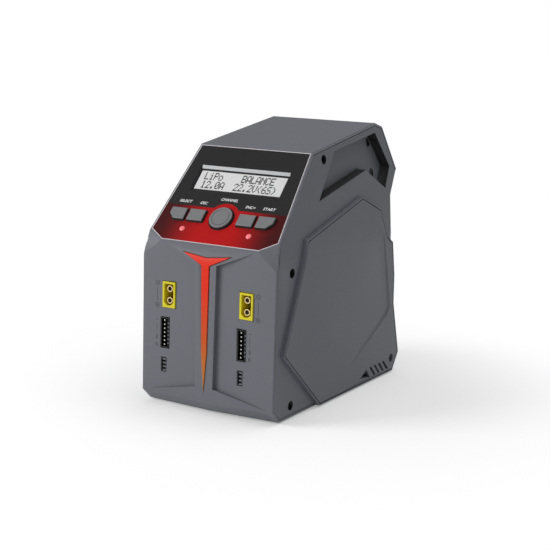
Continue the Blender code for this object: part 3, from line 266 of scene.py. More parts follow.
def surface(name, colour, roughness, grain=900.0, relief=0.2, spread=0.05, metallic=0.0):
    """Material with a slow change of tone and a fine grain. Returns it with its tree and shader."""
    material = bpy.data.materials.new(name)
    material.use_nodes = True
    tree = material.node_tree
    shader = tree.nodes["Principled BSDF"]
    shader.inputs["Metallic"].default_value = metallic
    grains = tree.nodes.new("ShaderNodeGroup")
    grains.node_tree = moulded_grain()
    grains.inputs["Scale"].default_value = grain
    dark = tuple(c * (1 - spread) for c in colour)
    light = tuple(min(1.0, c * (1 + spread)) for c in colour)
    toned = blend_colours(tree, grains.outputs["Tone"], dark, light)
    tree.links.new(toned, shader.inputs["Base Color"])
    rough = map_range(tree, grains.outputs["Height"], 0.3, 0.7, roughness - 0.05, roughness + 0.05)
    tree.links.new(rough, shader.inputs["Roughness"])
    bump = add_node(tree, "ShaderNodeBump", Strength=relief, Distance=0.0001)
    tree.links.new(grains.outputs["Height"], bump.inputs["Height"])
    tree.links.new(bump.outputs["Normal"], shader.inputs["Normal"])
    return material, tree, shader


def plain_surface(name, colour, roughness, **options):
    known = bpy.data.materials.get(name)
    return known or surface(name, colour, roughness, **options)[0]


def case_plastic():
    return plain_surface("case_plastic", settings("case").case_colour, 0.52)


def cover_plastic():
    return plain_surface("cover_plastic", settings("case").cover_colour, 0.55)


def dark_plastic():
    return plain_surface("dark_plastic", srgb(22, 22, 23), 0.45)


def bright_metal():
    return plain_surface(
        "bright_metal", srgb(200, 200, 198), 0.28, grain=1600.0, relief=0.05, metallic=1.0
    )


def gold_metal():
    colour = settings("sockets").contact_gold
    return plain_surface("gold_metal", colour, 0.25, grain=1600.0, relief=0.05, metallic=1.0)


def glowing(name, colour, strength, roughness=0.4):
    material, _, shader = surface(name, colour, roughness, relief=0.02, spread=0.02)
    shader.inputs["Emission Color"].default_value = (*colour, 1.0)
    shader.inputs["Emission Strength"].default_value = strength
    return material


def panel_film():
    """Printed film: black above, red below and round the middle key, darker at the sides."""
    colours = settings("panel")
    material, tree, shader = surface("panel_film", colours.film_black, 0.42, relief=0.06)
    toned = shader.inputs["Base Color"].links[0].from_socket
    place = tree.nodes.new("ShaderNodeTexCoord")
    mapping = tree.nodes.new("ShaderNodeMapping")
    mapping.vector_type = "TEXTURE"
    mapping.inputs["Location"].default_value = ON_PANEL.translation
    mapping.inputs["Rotation"].default_value = (PANEL_TILT, 0.0, 0.0)
    mapping.inputs["Scale"].default_value = (MM, MM, MM)
    tree.links.new(place.outputs["Object"], mapping.inputs["Vector"])
    parts = tree.nodes.new("ShaderNodeSeparateXYZ")
    tree.links.new(mapping.outputs["Vector"], parts.inputs["Vector"])
    across, up = parts.outputs["X"], parts.outputs["Y"]
    below = map_range(tree, up, 27.0, 27.3, 1.0, 0.0)
    rise = maths(tree, "SUBTRACT", up, KEY_ROW)
    across_squared = maths(tree, "MULTIPLY", across, across)
    square = maths(tree, "ADD", across_squared, maths(tree, "MULTIPLY", rise, rise))
    arch = map_range(tree, maths(tree, "SQRT", square), 11.1, 11.4, 1.0, 0.0)
    red_area = maths(tree, "MAXIMUM", below, arch)
    sideways = map_range(tree, maths(tree, "ABSOLUTE", across), 9.0, 40.0, smooth=True)
    red = blend_colours(tree, sideways, colours.film_red, colours.film_dark_red)
    tree.links.new(blend_colours(tree, red_area, toned, red), shader.inputs["Base Color"])
    shader.inputs["Specular IOR Level"].default_value = 0.25
    return material


def accent_plastic():
    """Insert plastic whose colour fades from its top to its tip."""
    colours = settings("sockets")
    middle = colours.accent_middle
    material, tree, shader = surface("accent_plastic", middle, 0.4, relief=0.05)
    up = object_axes(tree)["Z"]
    low = map_range(tree, up, 0.015, 0.046)
    high = map_range(tree, up, 0.042, 0.078)
    lower = blend_colours(tree, low, colours.accent_foot, middle)
    full = blend_colours(tree, high, lower, colours.accent_top)
    tree.links.new(full, shader.inputs["Base Color"])
    shader.inputs["Specular IOR Level"].default_value = 0.3
    return material


def banded(name, first, second, axis, pitch, roughness, metallic=0.0):
    """Material with fine parallel bands along one axis, such as a winding, fins or a flat cable."""
    known = bpy.data.materials.get(name)
    if known:
        return known
    material, tree, shader = surface(name, first, roughness, metallic=metallic)
    toned = shader.inputs["Base Color"].links[0].from_socket
    turns = maths(tree, "MULTIPLY", object_axes(tree)[axis], 2 * math.pi / pitch)
    wave = map_range(tree, maths(tree, "SINE", turns), -0.2, 0.2)
    tree.links.new(blend_colours(tree, wave, toned, second), shader.inputs["Base Color"])
    return material


def circuit_board():
    """Green board with pale traces."""
    known = bpy.data.materials.get("circuit_board")
    if known:
        return known
    material, tree, shader = surface("circuit_board", srgb(14, 74, 42), 0.35)
    toned = shader.inputs["Base Color"].links[0].from_socket
    place = tree.nodes.new("ShaderNodeTexCoord")
    cells = add_node(tree, "ShaderNodeTexVoronoi", Scale=240.0)
    cells.feature = "DISTANCE_TO_EDGE"
    cells.distance = "MANHATTAN"
    tree.links.new(place.outputs["Object"], cells.inputs["Vector"])
    trace = map_range(tree, cells.outputs["Distance"], 0.04, 0.07, 1.0, 0.0)
    board = blend_colours(tree, trace, toned, srgb(52, 122, 74))
    tree.links.new(board, shader.inputs["Base Color"])
    return material


# ---------------------------------------------------------------- shapes and pieces
def node_copy(name, merge=0.00002):
    """A CAD node's shape as a clean bmesh: doubles merged and flat faces joined."""
    bm = bmesh.new()
    bm.from_mesh(frame["nodes"][name].data)
    bmesh.ops.remove_doubles(bm, verts=bm.verts, dist=merge)
    bmesh.ops.dissolve_degenerate(bm, dist=0.5 * merge, edges=bm.edges)
    bmesh.ops.dissolve_limit(
        bm, angle_limit=math.radians(0.4), verts=bm.verts, edges=bm.edges, delimit={"NORMAL"}
    )
    return bm


def shift(bm, vec):
    bmesh.ops.translate(bm, vec=vec, verts=bm.verts)


def bevelled(bm, edges, width, segments=2):
    bmesh.ops.bevel(
        bm, geom=edges, offset=width, segments=segments, profile=0.5, affect="EDGES", material=-1
    )
    return bm


def round_edges(bm, width, least=0.004, angle=24.0, segments=2, choose=None):
    """Rounds the outward edges that are long and sharp enough."""
    chosen = []
    for edge in bm.edges:
        if not edge.is_manifold or not edge.is_convex or edge.calc_length() < least:
            continue
        if edge.calc_face_angle(0.0) < math.radians(angle):
            continue
        if choose is None or choose(edge):
            chosen.append(edge)
    return bevelled(bm, chosen, width, segments)


def evaluated_mesh(obj):
    """A new mesh with the object's shape as its modifiers or its outline leave it."""
    bpy.context.view_layer.update()
    graph = bpy.context.evaluated_depsgraph_get()
    return bpy.data.meshes.new_from_object(obj.evaluated_get(graph))


def carved(target, cutter):
    """The target bmesh with the cutter's shape taken out of it."""
    shapes = []
    for name, bm in (("carve_target", target), ("carve_cutter", cutter)):
        mesh = bpy.data.meshes.new(name)
        bm.to_mesh(mesh)
        bm.free()
        obj = bpy.data.objects.new(name, mesh)
        bpy.context.scene.collection.objects.link(obj)
        shapes.append(obj)
    modifier = shapes[0].modifiers.new("Carve", "BOOLEAN")
    modifier.operation = "DIFFERENCE"
    modifier.solver = "EXACT"
    modifier.object = shapes[1]
    mesh = evaluated_mesh(shapes[0])
    result = bmesh.new()
    result.from_mesh(mesh)
    for obj in shapes:
        bpy.data.objects.remove(obj)
    bpy.data.meshes.remove(mesh)
    return result


def make_piece(name, bm, materials, body=BODY, replaces=(), smooth=34.0):
    """Finishes a bmesh that already lies in place as a piece that rides on a body."""
    mesh = bpy.data.meshes.new(name)
    bm.to_mesh(mesh)
    bm.free()
    for material in materials if isinstance(materials, (list, tuple)) else [materials]:
        mesh.materials.append(material)
    obj = bpy.data.objects.new(name, mesh)
    bpy.context.scene.collection.objects.link(obj)
    mesh.shade_smooth()
    mesh.set_sharp_from_angle(angle=math.radians(smooth))
    normals = obj.modifiers.new("Flat faces", "WEIGHTED_NORMAL")
    normals.keep_sharp = True
    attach(obj, body)
    if replaces:
        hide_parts(*replaces)
    return obj


def paint(node, material):
    """Gives a CAD node that stays in view its finish."""
    mesh = frame["nodes"][node].data
    mesh.materials.clear()
    mesh.materials.append(material)
    mesh.shade_smooth()
    mesh.set_sharp_from_angle(angle=math.radians(30))


def merge_in(bm, other):
    """Adds another bmesh to this one."""
    mesh = bpy.data.meshes.new("part")
    other.to_mesh(mesh)
    other.free()
    bm.from_mesh(mesh)
    bpy.data.meshes.remove(mesh)


def block(low, high, soften=0.0):
    """Box between two corners, with its edges softened."""
    bm = bmesh.new()
    bmesh.ops.create_cube(bm, size=1.0)
    size = [b - a for a, b in zip(low, high)]
    bmesh.ops.scale(bm, vec=size, verts=bm.verts)
    shift(bm, [(a + b) / 2 for a, b in zip(low, high)])
    return bevelled(bm, bm.edges[:], soften) if soften else bm


def hull(points):
    """The convex solid round some points."""
    bm = bmesh.new()
    for point in points:
        bm.verts.new(point)
    bmesh.ops.convex_hull(bm, input=bm.verts)
    bmesh.ops.recalc_face_normals(bm, faces=bm.faces)
    return bm


def thickened(bm, faces, depth):
    """Flat faces made into a closed solid along Z."""
    made = bmesh.ops.extrude_face_region(bm, geom=faces)
    moved = [item for item in made["geom"] if isinstance(item, bmesh.types.BMVert)]
    bmesh.ops.translate(bm, vec=(0.0, 0.0, depth), verts=moved)
    bmesh.ops.recalc_face_normals(bm, faces=bm.faces)
    return bm


def plate(points, low, high):
    """Outline in a plane, given thickness along its normal."""
    bm = bmesh.new()
    face = bm.faces.new([bm.verts.new((u, v, low)) for u, v in points])
    return thickened(bm, [face], high - low)


def ring(points, width, low, high):
    """Flat band of one width just inside an outline."""
    bm = bmesh.new()
    face = bm.faces.new([bm.verts.new((u, v, low)) for u, v in points])
    bm.normal_update()
    bmesh.ops.inset_region(
        bm, faces=[face], thickness=width, use_even_offset=True, use_boundary=True
    )
    bmesh.ops.delete(bm, geom=[face], context="FACES_ONLY")
    return thickened(bm, bm.faces[:], high - low)


def circle_points(u, v, radius, count=28):
    turns = [2 * math.pi * i / count for i in range(count)]
    return [(u + radius * math.cos(a), v + radius * math.sin(a)) for a in turns]


def placed(bm, matrix):
    """The bmesh after a matrix, which also turns its millimetres into metres."""
    bmesh.ops.transform(bm, matrix=matrix, verts=bm.verts)
    return bm


def lettering(words, width, height, u, v, low, high, slant=0.0):
    """Words as a thin solid centred at (u, v), scaled to a width and a height."""
    curve = bpy.data.curves.new("lettering", "FONT")
    curve.body = words
    curve.extrude = 0.5
    curve.offset = 0.022
    curve.resolution_u = 3
    obj = bpy.data.objects.new("lettering", curve)
    bpy.context.scene.collection.objects.link(obj)
    mesh = evaluated_mesh(obj)
    bpy.data.objects.remove(obj)
    bm = bmesh.new()
    bm.from_mesh(mesh)
    bpy.data.meshes.remove(mesh)
    bpy.data.curves.remove(curve)
    bmesh.ops.remove_doubles(bm, verts=bm.verts, dist=0.0001)
    xs = [vert.co.x for vert in bm.verts]
    ys = [vert.co.y for vert in bm.verts]
    middle = Vector(((min(xs) + max(xs)) / 2, (min(ys) + max(ys)) / 2, -0.5))
    shift(bm, -middle)
    scale = (width / (max(xs) - min(xs)), height / (max(ys) - min(ys)), high - low)
    bmesh.ops.scale(bm, vec=scale, verts=bm.verts)
    if slant:
        lean = Matrix.Shear("XZ", 4, (0.0, 0.0))
        lean[0][1] = slant
        bmesh.ops.transform(bm, matrix=lean, verts=bm.verts)
    shift(bm, (u, v, low))
    return bm


def side_surface(side, y, z, out=0.0):
    """World point on a leaning side of the case, in metres from millimetres."""
    x = HALF_WIDTH - max(0.0, z - BEND) * LEAN + out
    return Vector((side * x, y + FRONT_Y, z + FOOT_LIFT)) * MM


# ---------------------------------------------------------------- operators
class ChargerOperator:
    """What all the charger's operators share"""

    bl_options = {"REGISTER", "UNDO"}


class CHARGER_OT_housing(ChargerOperator, bpy.types.Operator):
    """Centre housing with its spine, panel frame and sockets' cut-outs"""

    bl_idname = "charger.housing"
    bl_label = "Centre housing"

    def execute(self, context):
        bm = node_copy("centre_housing")
        inside = Vector((0.0, 0.0, 0.08))

        def outer(edge):
            spots = [vert.co / MM for vert in edge.verts]
            if all(abs(p.x) > 33 and p.y < FRONT_Y + 9 and 88 < p.z < 112 for p in spots):
                return False
            middle = (edge.verts[0].co + edge.verts[1].co) / 2
            normals = [face.normal for face in edge.link_faces]
            away = middle - inside
            return all(normal.dot(away) > 0 for normal in normals)

        round_edges(bm, settings("case").edge_round, least=0.006, angle=12.0, choose=outer)
        make_piece("housing_shell", bm, case_plastic(), replaces=["centre_housing"])
        foot = Vector((PANEL_FOOT_HALF, 0.0, FRONT_TOP))
        behind = Vector((0.0, 0.954, -0.3))
        for side, word in SIDES:
            spots = [
                foot.lerp(end, share) + behind * depth
                for share in (0.7, 0.985)
                for end in FACET_ENDS
                for depth in (0.06, 2.6)
            ]
            corner = hull(Vector((side * p.x, p.y + FRONT_Y, p.z + FOOT_LIFT)) * MM for p in spots)
            make_piece(f"corner_filler_{word}", corner, case_plastic())
        return {"FINISHED"}


class CHARGER_OT_covers(ChargerOperator, bpy.types.Operator):
    """Side covers with their rims and the grip pockets, whose walls are dark: painted shade of the
    pockets, with the screw wells painted near black as painted shade
    """

    bl_idname = "charger.covers"
    bl_label = "Side covers"

    def execute(self, context):
        # The dark pocket walls are painted shade, not a different plastic.
        dark = plain_surface("pocket_painted_shade", settings("case").pocket_shade_colour, 0.5)
        # Near-black painted shade for the deep wells round the cover screws.
        well_shade = plain_surface("well_painted_shade", srgb(12, 12, 13), 0.7)
        for side, word in SIDES:
            node = f"{word}_side_cover"
            bm = node_copy(node)
            boxes = [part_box(f"cover_screw_{word}_{number}") for number in range(1, 7)]
            middles = [(low + high) / 2 for low, high in boxes]
            for face in bm.faces:
                place = face.calc_center_median()
                nearest = min(middles, key=lambda m: math.hypot(place.y - m.y, place.z - m.z))
                reach = max(
                    math.hypot(v.co.y - nearest.y, v.co.z - nearest.z) for v in face.verts
                )
                # Faces close round a screw's axis are the well walls and floor, painted with the
                # well shade.
                if reach < 0.0033:
                    face.material_index = 2
                    continue
                skin = side_surface(side, 0.0, place.z / MM - FOOT_LIFT).x * side
                depth = skin - side * place.x
                in_pocket = place.z > 0.118 and 0.0002 < depth < 0.0088
                inward = abs(face.normal.x) < 0.6 and place.y > FRONT_Y * MM + 0.052
                near_edge = place.z > 0.1655 or place.y > 0.0795
                # Pocket wall faces take the painted pocket shade.
                if in_pocket and inward and not near_edge and face.calc_area() > 2e-5:
                    face.material_index = 1
            round_edges(bm, settings("case").edge_round, least=0.007)
            finishes = [cover_plastic(), dark, well_shade]
            make_piece(f"{word}_cover_shell", bm, finishes, replaces=[node])
            self.bead(side, word)
        return {"FINISHED"}

    def bead(self, side, word):
        """Small raised line round the floor of a grip pocket, a little inside its walls."""
        lower = [(147.0, 127.4), (120.1, 141.3)]
        upper = [(56.9, 127.6), (79.5, 154.9), (136.4, 162.4), (154.5, 140.2)]
        bm = ring(upper + lower, 0.5, -6.85, -6.45)
        for vert in bm.verts:
            vert.co = side_surface(side, vert.co.x, vert.co.y, vert.co.z)
        bmesh.ops.recalc_face_normals(bm, faces=bm.faces)
        line = plain_surface("pocket_line", srgb(96, 98, 103), 0.45)
        make_piece(f"{word}_pocket_bead", bm, line)


class CHARGER_OT_plates(ChargerOperator, bpy.types.Operator):
    """Side plates, dished behind a long relief line"""

    bl_idname = "charger.plates"
    bl_label = "Side plates"

    def execute(self, context):
        depth = settings("case").relief_depth / MM
        # (y, z, share of the relief's depth) where the dished field bends
        field = [(103.7, 99.8, 0.0), (126.3, 96.4, 0.5), (148.8, 47.1, 1.0)]
        field += [(144.5, 42.0, 0.95), (86.5, 13.8, 0.0)]
        lip = [(103.0, 100.4), (135.5, 97.5), (150.4, 46.8), (145.4, 40.8), (86.0, 12.9)]
        for side, word in SIDES:
            node = f"{word}_side_plate"
            bm = round_edges(node_copy(node), settings("case").edge_round, least=0.007)
            points = []
            for y, z, share in field:
                out = PLATE_PROUD - depth * share + (0.02 if share == 0.0 else 0.0)
                points.append(side_surface(side, y, min(z, BEND), out))
            for y, z in lip:
                for out in (PLATE_PROUD + 0.01, PLATE_PROUD + 3.0):
                    points.append(side_surface(side, y, min(z, BEND) if z > 98 else z, out))
            dished = carved(bm, hull(points))
            finish = cover_plastic()
            make_piece(f"{word}_plate_shell", dished, finish, replaces=[node])
        return {"FINISHED"}


class CHARGER_OT_screws(ChargerOperator, bpy.types.Operator):
    """Dark screws with cross recesses, deep in their wells"""

    bl_idname = "charger.screws"
    bl_label = "Cover screws"

    def execute(self, context):
        steel = plain_surface("screw_steel", srgb(30, 30, 32), 0.35, grain=1500.0, metallic=1.0)
        quarter = [(1.5, -0.25), (1.5, 0.25), (0.25, 0.25)]
        cross = []
        for _ in range(4):
            cross += quarter
            quarter = [(-v, u) for u, v in quarter]
        for side, word in SIDES:
            for number in range(1, 7):
                node = f"cover_screw_{word}_{number}"
                low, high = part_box(node)
                top = high.x if side > 0 else low.x
                centre = Vector((top, (low.y + high.y) / 2, (low.z + high.z) / 2))
                bm = round_edges(node_copy(node), 0.0004, least=0.0008, angle=40.0)
                arms = placed(plate(cross, -0.9, 0.9), Matrix.Translation(centre) @ FACING_SIDE)
                bm = carved(bm, arms)
                make_piece(f"{node}_finished", bm, steel, replaces=[node])
        return {"FINISHED"}


class CHARGER_OT_panel(ChargerOperator, bpy.types.Operator):
    """Printed panel film with its pale border line, which is a painted highlight of the case's
    edge, dark painted shadow lines round the keys, and the words at the keys
    """

    bl_idname = "charger.panel"
    bl_label = "Panel film"

    def execute(self, context):
        given = settings("panel")
        bm = node_copy("panel_overlay")
        round_edges(bm, 0.0001, least=0.003)
        make_piece("panel_film_sheet", bm, panel_film(), replaces=["panel_overlay"])
        slope = math.sin(PANEL_TILT)
        top = HALF_WIDTH - (FRONT_TOP + PANEL_RUN_UP * slope - BEND) * LEAN
        corner = HALF_WIDTH - (FRONT_TOP + CORNER_RISE * slope - BEND) * LEAN
        right = [(PANEL_FOOT_HALF - 0.2, 0.9), (corner - 1.0, 7.5)]
        right.append((top - 0.95, PANEL_RUN_UP - 0.9))
        outline = right + [(-u, v) for u, v in reversed(right)]
        # Pale line round the film: a painted highlight standing for the light on the case's edge.
        border = plain_surface("edge_highlight_line", srgb(214, 208, 212), 0.35)
        highlight_band = placed(ring(outline, given.line_width / MM, 0.005, 0.07), ON_PANEL)
        make_piece("panel_edge_highlight", highlight_band, border)
        # Dark rings round the keys are painted shadow of the gaps between the keys and the film.
        shade = plain_surface("key_gap_shadow", srgb(26, 2, 4), 0.5)
        gap_shadows = bmesh.new()
        for u in (-30.75, -17.45, 17.45, 30.75):
            half, rise, cut = 6.1, 4.75, 3.9 if abs(u) > 20 else 0.4
            left_cut, right_cut = (cut, 0.4) if u < 0 else (0.4, cut)
            foot = KEY_ROW - rise
            lower = [(u - half, foot + left_cut), (u - half + left_cut, foot)]
            lower += [(u + half - right_cut, foot), (u + half, foot + right_cut)]
            upper = [(u + half, KEY_ROW + rise), (u - half, KEY_ROW + rise)]
            merge_in(gap_shadows, ring(lower + upper, 0.42, INK_LOW, 0.03))
        merge_in(gap_shadows, ring(circle_points(0.0, KEY_ROW, 8.5, 40), 0.5, INK_LOW, 0.03))
        make_piece("key_gap_shadows", placed(gap_shadows, ON_PANEL), shade)
        words = bmesh.new()
        labels = (
            ("SELECT", -30.2, 30.2, 8.8),
            ("-DEC", -17.2, 30.1, 5.4),
            ("CHANNEL", -0.4, 34.1, 12.0),
            ("INC+", 15.9, 30.4, 6.6),
            ("START", 28.7, 30.5, 8.2),
        )
        for text, u, v, width in labels:
            merge_in(words, lettering(text, width, 2.0, u, v, INK_LOW, 0.05, 0.15))
        ink = plain_surface("label_ink", given.label_colour, 0.5)
        make_piece("panel_words", placed(words, ON_PANEL), ink)
        return {"FINISHED"}


# The display's letters, each as rows of dots from the top.
DOTS = {
    "L": "10000 10000 10000 10000 10000 10000 11111",
    "i": "00100 00000 01100 00100 00100 00100 01110",
    "P": "11110 10001 10001 11110 10000 10000 10000",
    "o": "00000 00000 01110 10001 10001 10001 01110",
    "B": "11110 10001 10001 11110 10001 10001 11110",
    "A": "01110 10001 10001 10001 11111 10001 10001",
    "N": "10001 11001 10101 10011 10001 10001 10001",
    "C": "01110 10001 10000 10000 10000 10001 01110",
    "E": "11111 10000 10000 11110 10000 10000 11111",
    "1": "00100 01100 00100 00100 00100 00100 01110",
    "2": "01110 10001 00001 00010 00100 01000 11111",
    "0": "01110 10001 10011 10101 11001 10001 01110",
    ".": "00000 00000 00000 00000 00000 01100 01100",
    "V": "10001 10001 10001 10001 10001 01010 00100",
    "(": "00010 00100 01000 01000 01000 00100 00010",
    "6": "00110 01000 10000 11110 10001 10001 01110",
    "S": "01111 10000 10000 01110 00001 00001 11110",
    ")": "01000 00100 00010 00010 00010 00100 01000",
}


class CHARGER_OT_display(ChargerOperator, bpy.types.Operator):
    """Lit display behind its window, with a two-row readout of dots"""

    bl_idname = "charger.display"
    bl_label = "Display"

    def execute(self, context):
        black = plain_surface("display_black", srgb(26, 26, 27), 0.4)
        half, low, high = 31.4, 38.95, 58.45
        surround = plate([(-half, low), (half, low), (half, high), (-half, high)], -2.6, -1.2)
        make_piece(
            "display_surround",
            placed(surround, ON_PANEL),
            black,
            replaces=["display_window"],
        )
        strip = block((-31.35, 0.0, -0.15), (31.35, 2.3, 0.15), 0.1)
        tilt = Matrix.Rotation(math.radians(24), 3, "X")
        bmesh.ops.rotate(strip, matrix=tilt, verts=strip.verts)
        shift(strip, (0.0, 56.45, -1.15))
        pale = plain_surface("display_metal", srgb(188, 189, 191), 0.4)
        make_piece("display_top_strip", placed(strip, ON_PANEL), pale)
        left, right, bottom, top = -30.1, 30.8, 40.7, 54.9
        screen = block((left, bottom, -1.25), (right, top, -0.95), 0.1)
        lit = glowing("screen_white", settings("panel").screen_colour, 0.04)
        make_piece("display_screen", placed(screen, ON_PANEL), lit)
        dots = bmesh.new()
        pitch, step_u, step_v = 3.33, 0.6, 0.79
        start = left + 4.1
        for row, text in ((53.4, "LiPo    BALANCE"), (46.9, "12.0A  22.2V(6S)")):
            for column, letter in enumerate(text):
                for line, bits in enumerate(DOTS.get(letter, "").split()):
                    for place, bit in enumerate(bits):
                        if bit == "1":
                            u = start + column * pitch + place * step_u
                            v = row - line * step_v
                            low_corner = (u - 0.31, v - 0.4, -0.95)
                            merge_in(dots, block(low_corner, (u + 0.31, v + 0.4, -0.92)))
        ink = plain_surface("readout_ink", srgb(38, 40, 41), 0.5)
        make_piece("display_readout", placed(dots, ON_PANEL), ink)
        return {"FINISHED"}


class CHARGER_OT_keys(ChargerOperator, bpy.types.Operator):
    """Key caps with soft edges: four flat ones, and a round one with a ring; their side walls are
    painted darker as painted shade
    """

    bl_idname = "charger.keys"
    bl_label = "Keys"

    def execute(self, context):
        cap = plain_surface("key_plastic", settings("panel").key_colour, 0.45)
        wall_shade = plain_surface("key_side_shade", settings("panel").key_side_shade_colour, 0.5)
        outward = ON_PANEL.to_3x3().normalized() @ Vector((0.0, 0.0, 1.0))
        to_panel = ON_PANEL.inverted()
        for word in ("select", "decrease", "channel", "increase", "start"):
            node = f"key_{word}"
            bm = node_copy(node)

            def on_top(edge):
                return all((to_panel @ vert.co).z > 1.7 for vert in edge.verts)

            round_edges(bm, 0.0006 if word == "channel" else 0.0005, 0.0005, 20.0, 3, on_top)
            tops = [face for face in bm.faces if face.normal.dot(outward) > 0.999]
            heights = {face: (to_panel @ face.calc_center_median()).z for face in tops}
            top = max(tops, key=lambda face: heights[face] * 1000 + face.calc_area())
            for face in bm.faces:
                # Faces turned away from the panel's normal take the painted wall shade.
                if face.normal.dot(outward) < 0.3:
                    face.material_index = 1
            steps = [(0.001, 0.0), (0.00008, -0.0003), (0.0004, 0.0), (0.00008, 0.0003)]
            if word != "channel":
                steps = [(0.0012, 0.0), (0.0006, -0.0002)]
            for inward, drop in steps:
                bmesh.ops.inset_region(
                    bm, faces=[top], thickness=inward, depth=drop, use_even_offset=True
                )
            body = f"{word}_key"
            make_piece(f"{node}_cap", bm, [cap, wall_shade], body, replaces=[node])
        return {"FINISHED"}


class CHARGER_OT_lights(ChargerOperator, bpy.types.Operator):
    """Two domed status lights"""

    bl_idname = "charger.lights"
    bl_label = "Status lights"

    def execute(self, context):
        lens = glowing("status_lens", srgb(244, 118, 124), 0.25, 0.25)
        for side, word in SIDES:
            node = f"status_light_{word}"
            bm = node_copy(node)
            dome = bmesh.new()
            bmesh.ops.create_uvsphere(dome, u_segments=24, v_segments=12, radius=1.0)
            bmesh.ops.scale(dome, vec=(1.75, 1.75, 0.75), verts=dome.verts)
            shift(dome, (side * 23.4, 9.9, 0.1))
            merge_in(bm, placed(dome, ON_PANEL))
            make_piece(f"{node}_lens", bm, lens, replaces=[node])
        return {"FINISHED"}


class CHARGER_OT_accent(ChargerOperator, bpy.types.Operator):
    """Y-shaped insert down the front spine"""

    bl_idname = "charger.accent"
    bl_label = "Front insert"

    def execute(self, context):
        bm = round_edges(node_copy("front_insert"), 0.0002, least=0.002)
        orange = accent_plastic()
        make_piece("accent_insert", bm, orange, replaces=["front_insert"])
        return {"FINISHED"}


class CHARGER_OT_outputs(ChargerOperator, bpy.types.Operator):
    """Yellow output sockets, each with two split contacts, their insides and contact bores painted
    dark as painted shade
    """

    bl_idname = "charger.outputs"
    bl_label = "Output sockets"

    def execute(self, context):
        yellow = plain_surface("socket_plastic", settings("sockets").socket_yellow, 0.35)
        # Dark yellow painted shade for the inside of the sockets, on their inner floors and on the
        # block behind the contacts.
        throat_shade = plain_surface("socket_throat_shade", srgb(66, 50, 8), 0.6)
        # Near-black painted shade for the holes in the contacts.
        bore_shade = plain_surface("contact_bore_shade", srgb(14, 10, 8), 0.7)
        for side, word in SIDES:
            self.shell(f"output_socket_{word}", yellow, throat_shade)
            self.contacts(f"output_contacts_{word}", side * CHANNEL_X, throat_shade, bore_shade)
        self.shell("dc_input_socket", yellow, throat_shade)
        paint("dc_input_contacts", gold_metal())
        return {"FINISHED"}

    def shell(self, node, yellow, throat_shade):
        bm = node_copy(node)
        low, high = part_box(node)
        for face in bm.faces:
            place = face.calc_center_median()
            inside = abs(place.x - (low.x + high.x) / 2) < 0.0033
            # Inner floor faces of a socket take the painted shade.
            if inside and face.normal.y < -0.5 and place.y > low.y + 0.002:
                face.material_index = 1
        round_edges(bm, 0.0003, least=0.002, angle=60.0)
        make_piece(f"{node}_shell", bm, [yellow, throat_shade], replaces=[node])

    def contacts(self, node, x, throat_shade, bore_shade):
        low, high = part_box(node)
        # The block behind the contacts is painted in the socket's shade.
        base = block((low.x, high.y - 0.003, low.z), high)
        make_piece(f"{node}_block", base, throat_shade, replaces=[node])
        tubes, bore_shades = bmesh.new(), bmesh.new()
        turn = Matrix.Rotation(math.pi / 2, 4, "X")
        for rise in (-CONTACT_RISE, CONTACT_RISE):
            centre = Vector((x * MM, low.y - 0.0030, (OUTPUT_Z + rise + FOOT_LIFT) * MM))
            at_contact = Matrix.Translation(centre) @ turn @ Matrix.Scale(MM, 4)
            tube = ring(circle_points(0.0, 0.0, 2.0), 0.6, -8.0, 0.4)
            merge_in(tubes, placed(tube, at_contact))
            # A black disc fills each contact's bore as painted shade in the hole.
            bore_shade_disc = plate(circle_points(0.0, 0.0, 1.35, 20), -8.0, -0.5)
            merge_in(bore_shades, placed(bore_shade_disc, at_contact))
        make_piece(f"{node}_tubes", tubes, gold_metal())
        make_piece(f"{node}_cores", bore_shades, bore_shade)


class CHARGER_OT_balance(ChargerOperator, bpy.types.Operator):
    """Balance sockets and small three-pin ports with their pins and notched edges"""

    bl_idname = "charger.balance"
    bl_label = "Balance sockets"

    def execute(self, context):
        black = plain_surface("socket_black", srgb(12, 12, 13), 0.5)
        for side, word in SIDES:
            for node in (f"balance_socket_{word}", f"sensor_port_{word}"):
                bm = round_edges(node_copy(node), 0.00015, least=0.002, angle=60.0)
                make_piece(f"{node}_shell", bm, black, replaces=[node])
            paint(f"balance_pins_{word}", bright_metal())
            x = side * CHANNEL_X
            base = plate([(-2.0, -8.4), (2.0, -8.4), (2.0, 8.4), (-2.0, 8.4)], -4.4, -4.2)
            shift(base, (x - 3.0, BALANCE_Z, 0.0))
            make_piece(f"balance_floor_{word}", placed(base, ON_FRONT), black)
            ribs = bmesh.new()
            rim = FRONT_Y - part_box(f"balance_socket_{word}")[0].y / MM + 0.05
            for step in range(6):
                z = BALANCE_Z + (step - 2.5) * BALANCE_PITCH
                merge_in(ribs, block((x - 0.75, z - 0.45, -0.6), (x + 0.1, z + 0.45, rim), 0.08))
            for step in range(4):
                z = PORT_Z + (step - 1.5) * PORT_PITCH
                merge_in(ribs, block((x - 3.9, z - 0.45, -0.6), (x - 1.8, z + 0.45, rim), 0.08))
            placed(ribs, ON_FRONT)
            make_piece(f"socket_notches_{word}", ribs, case_plastic())
            tips = bmesh.new()
            for step in range(7):
                z = BALANCE_Z + (step - 3) * BALANCE_PITCH
                merge_in(tips, block((x - 3.95, z - 0.42, -3.2), (x - 3.1, z + 0.42, -0.5), 0.1))
            make_piece(f"balance_tips_{word}", placed(tips, ON_FRONT), bright_metal())
        return {"FINISHED"}


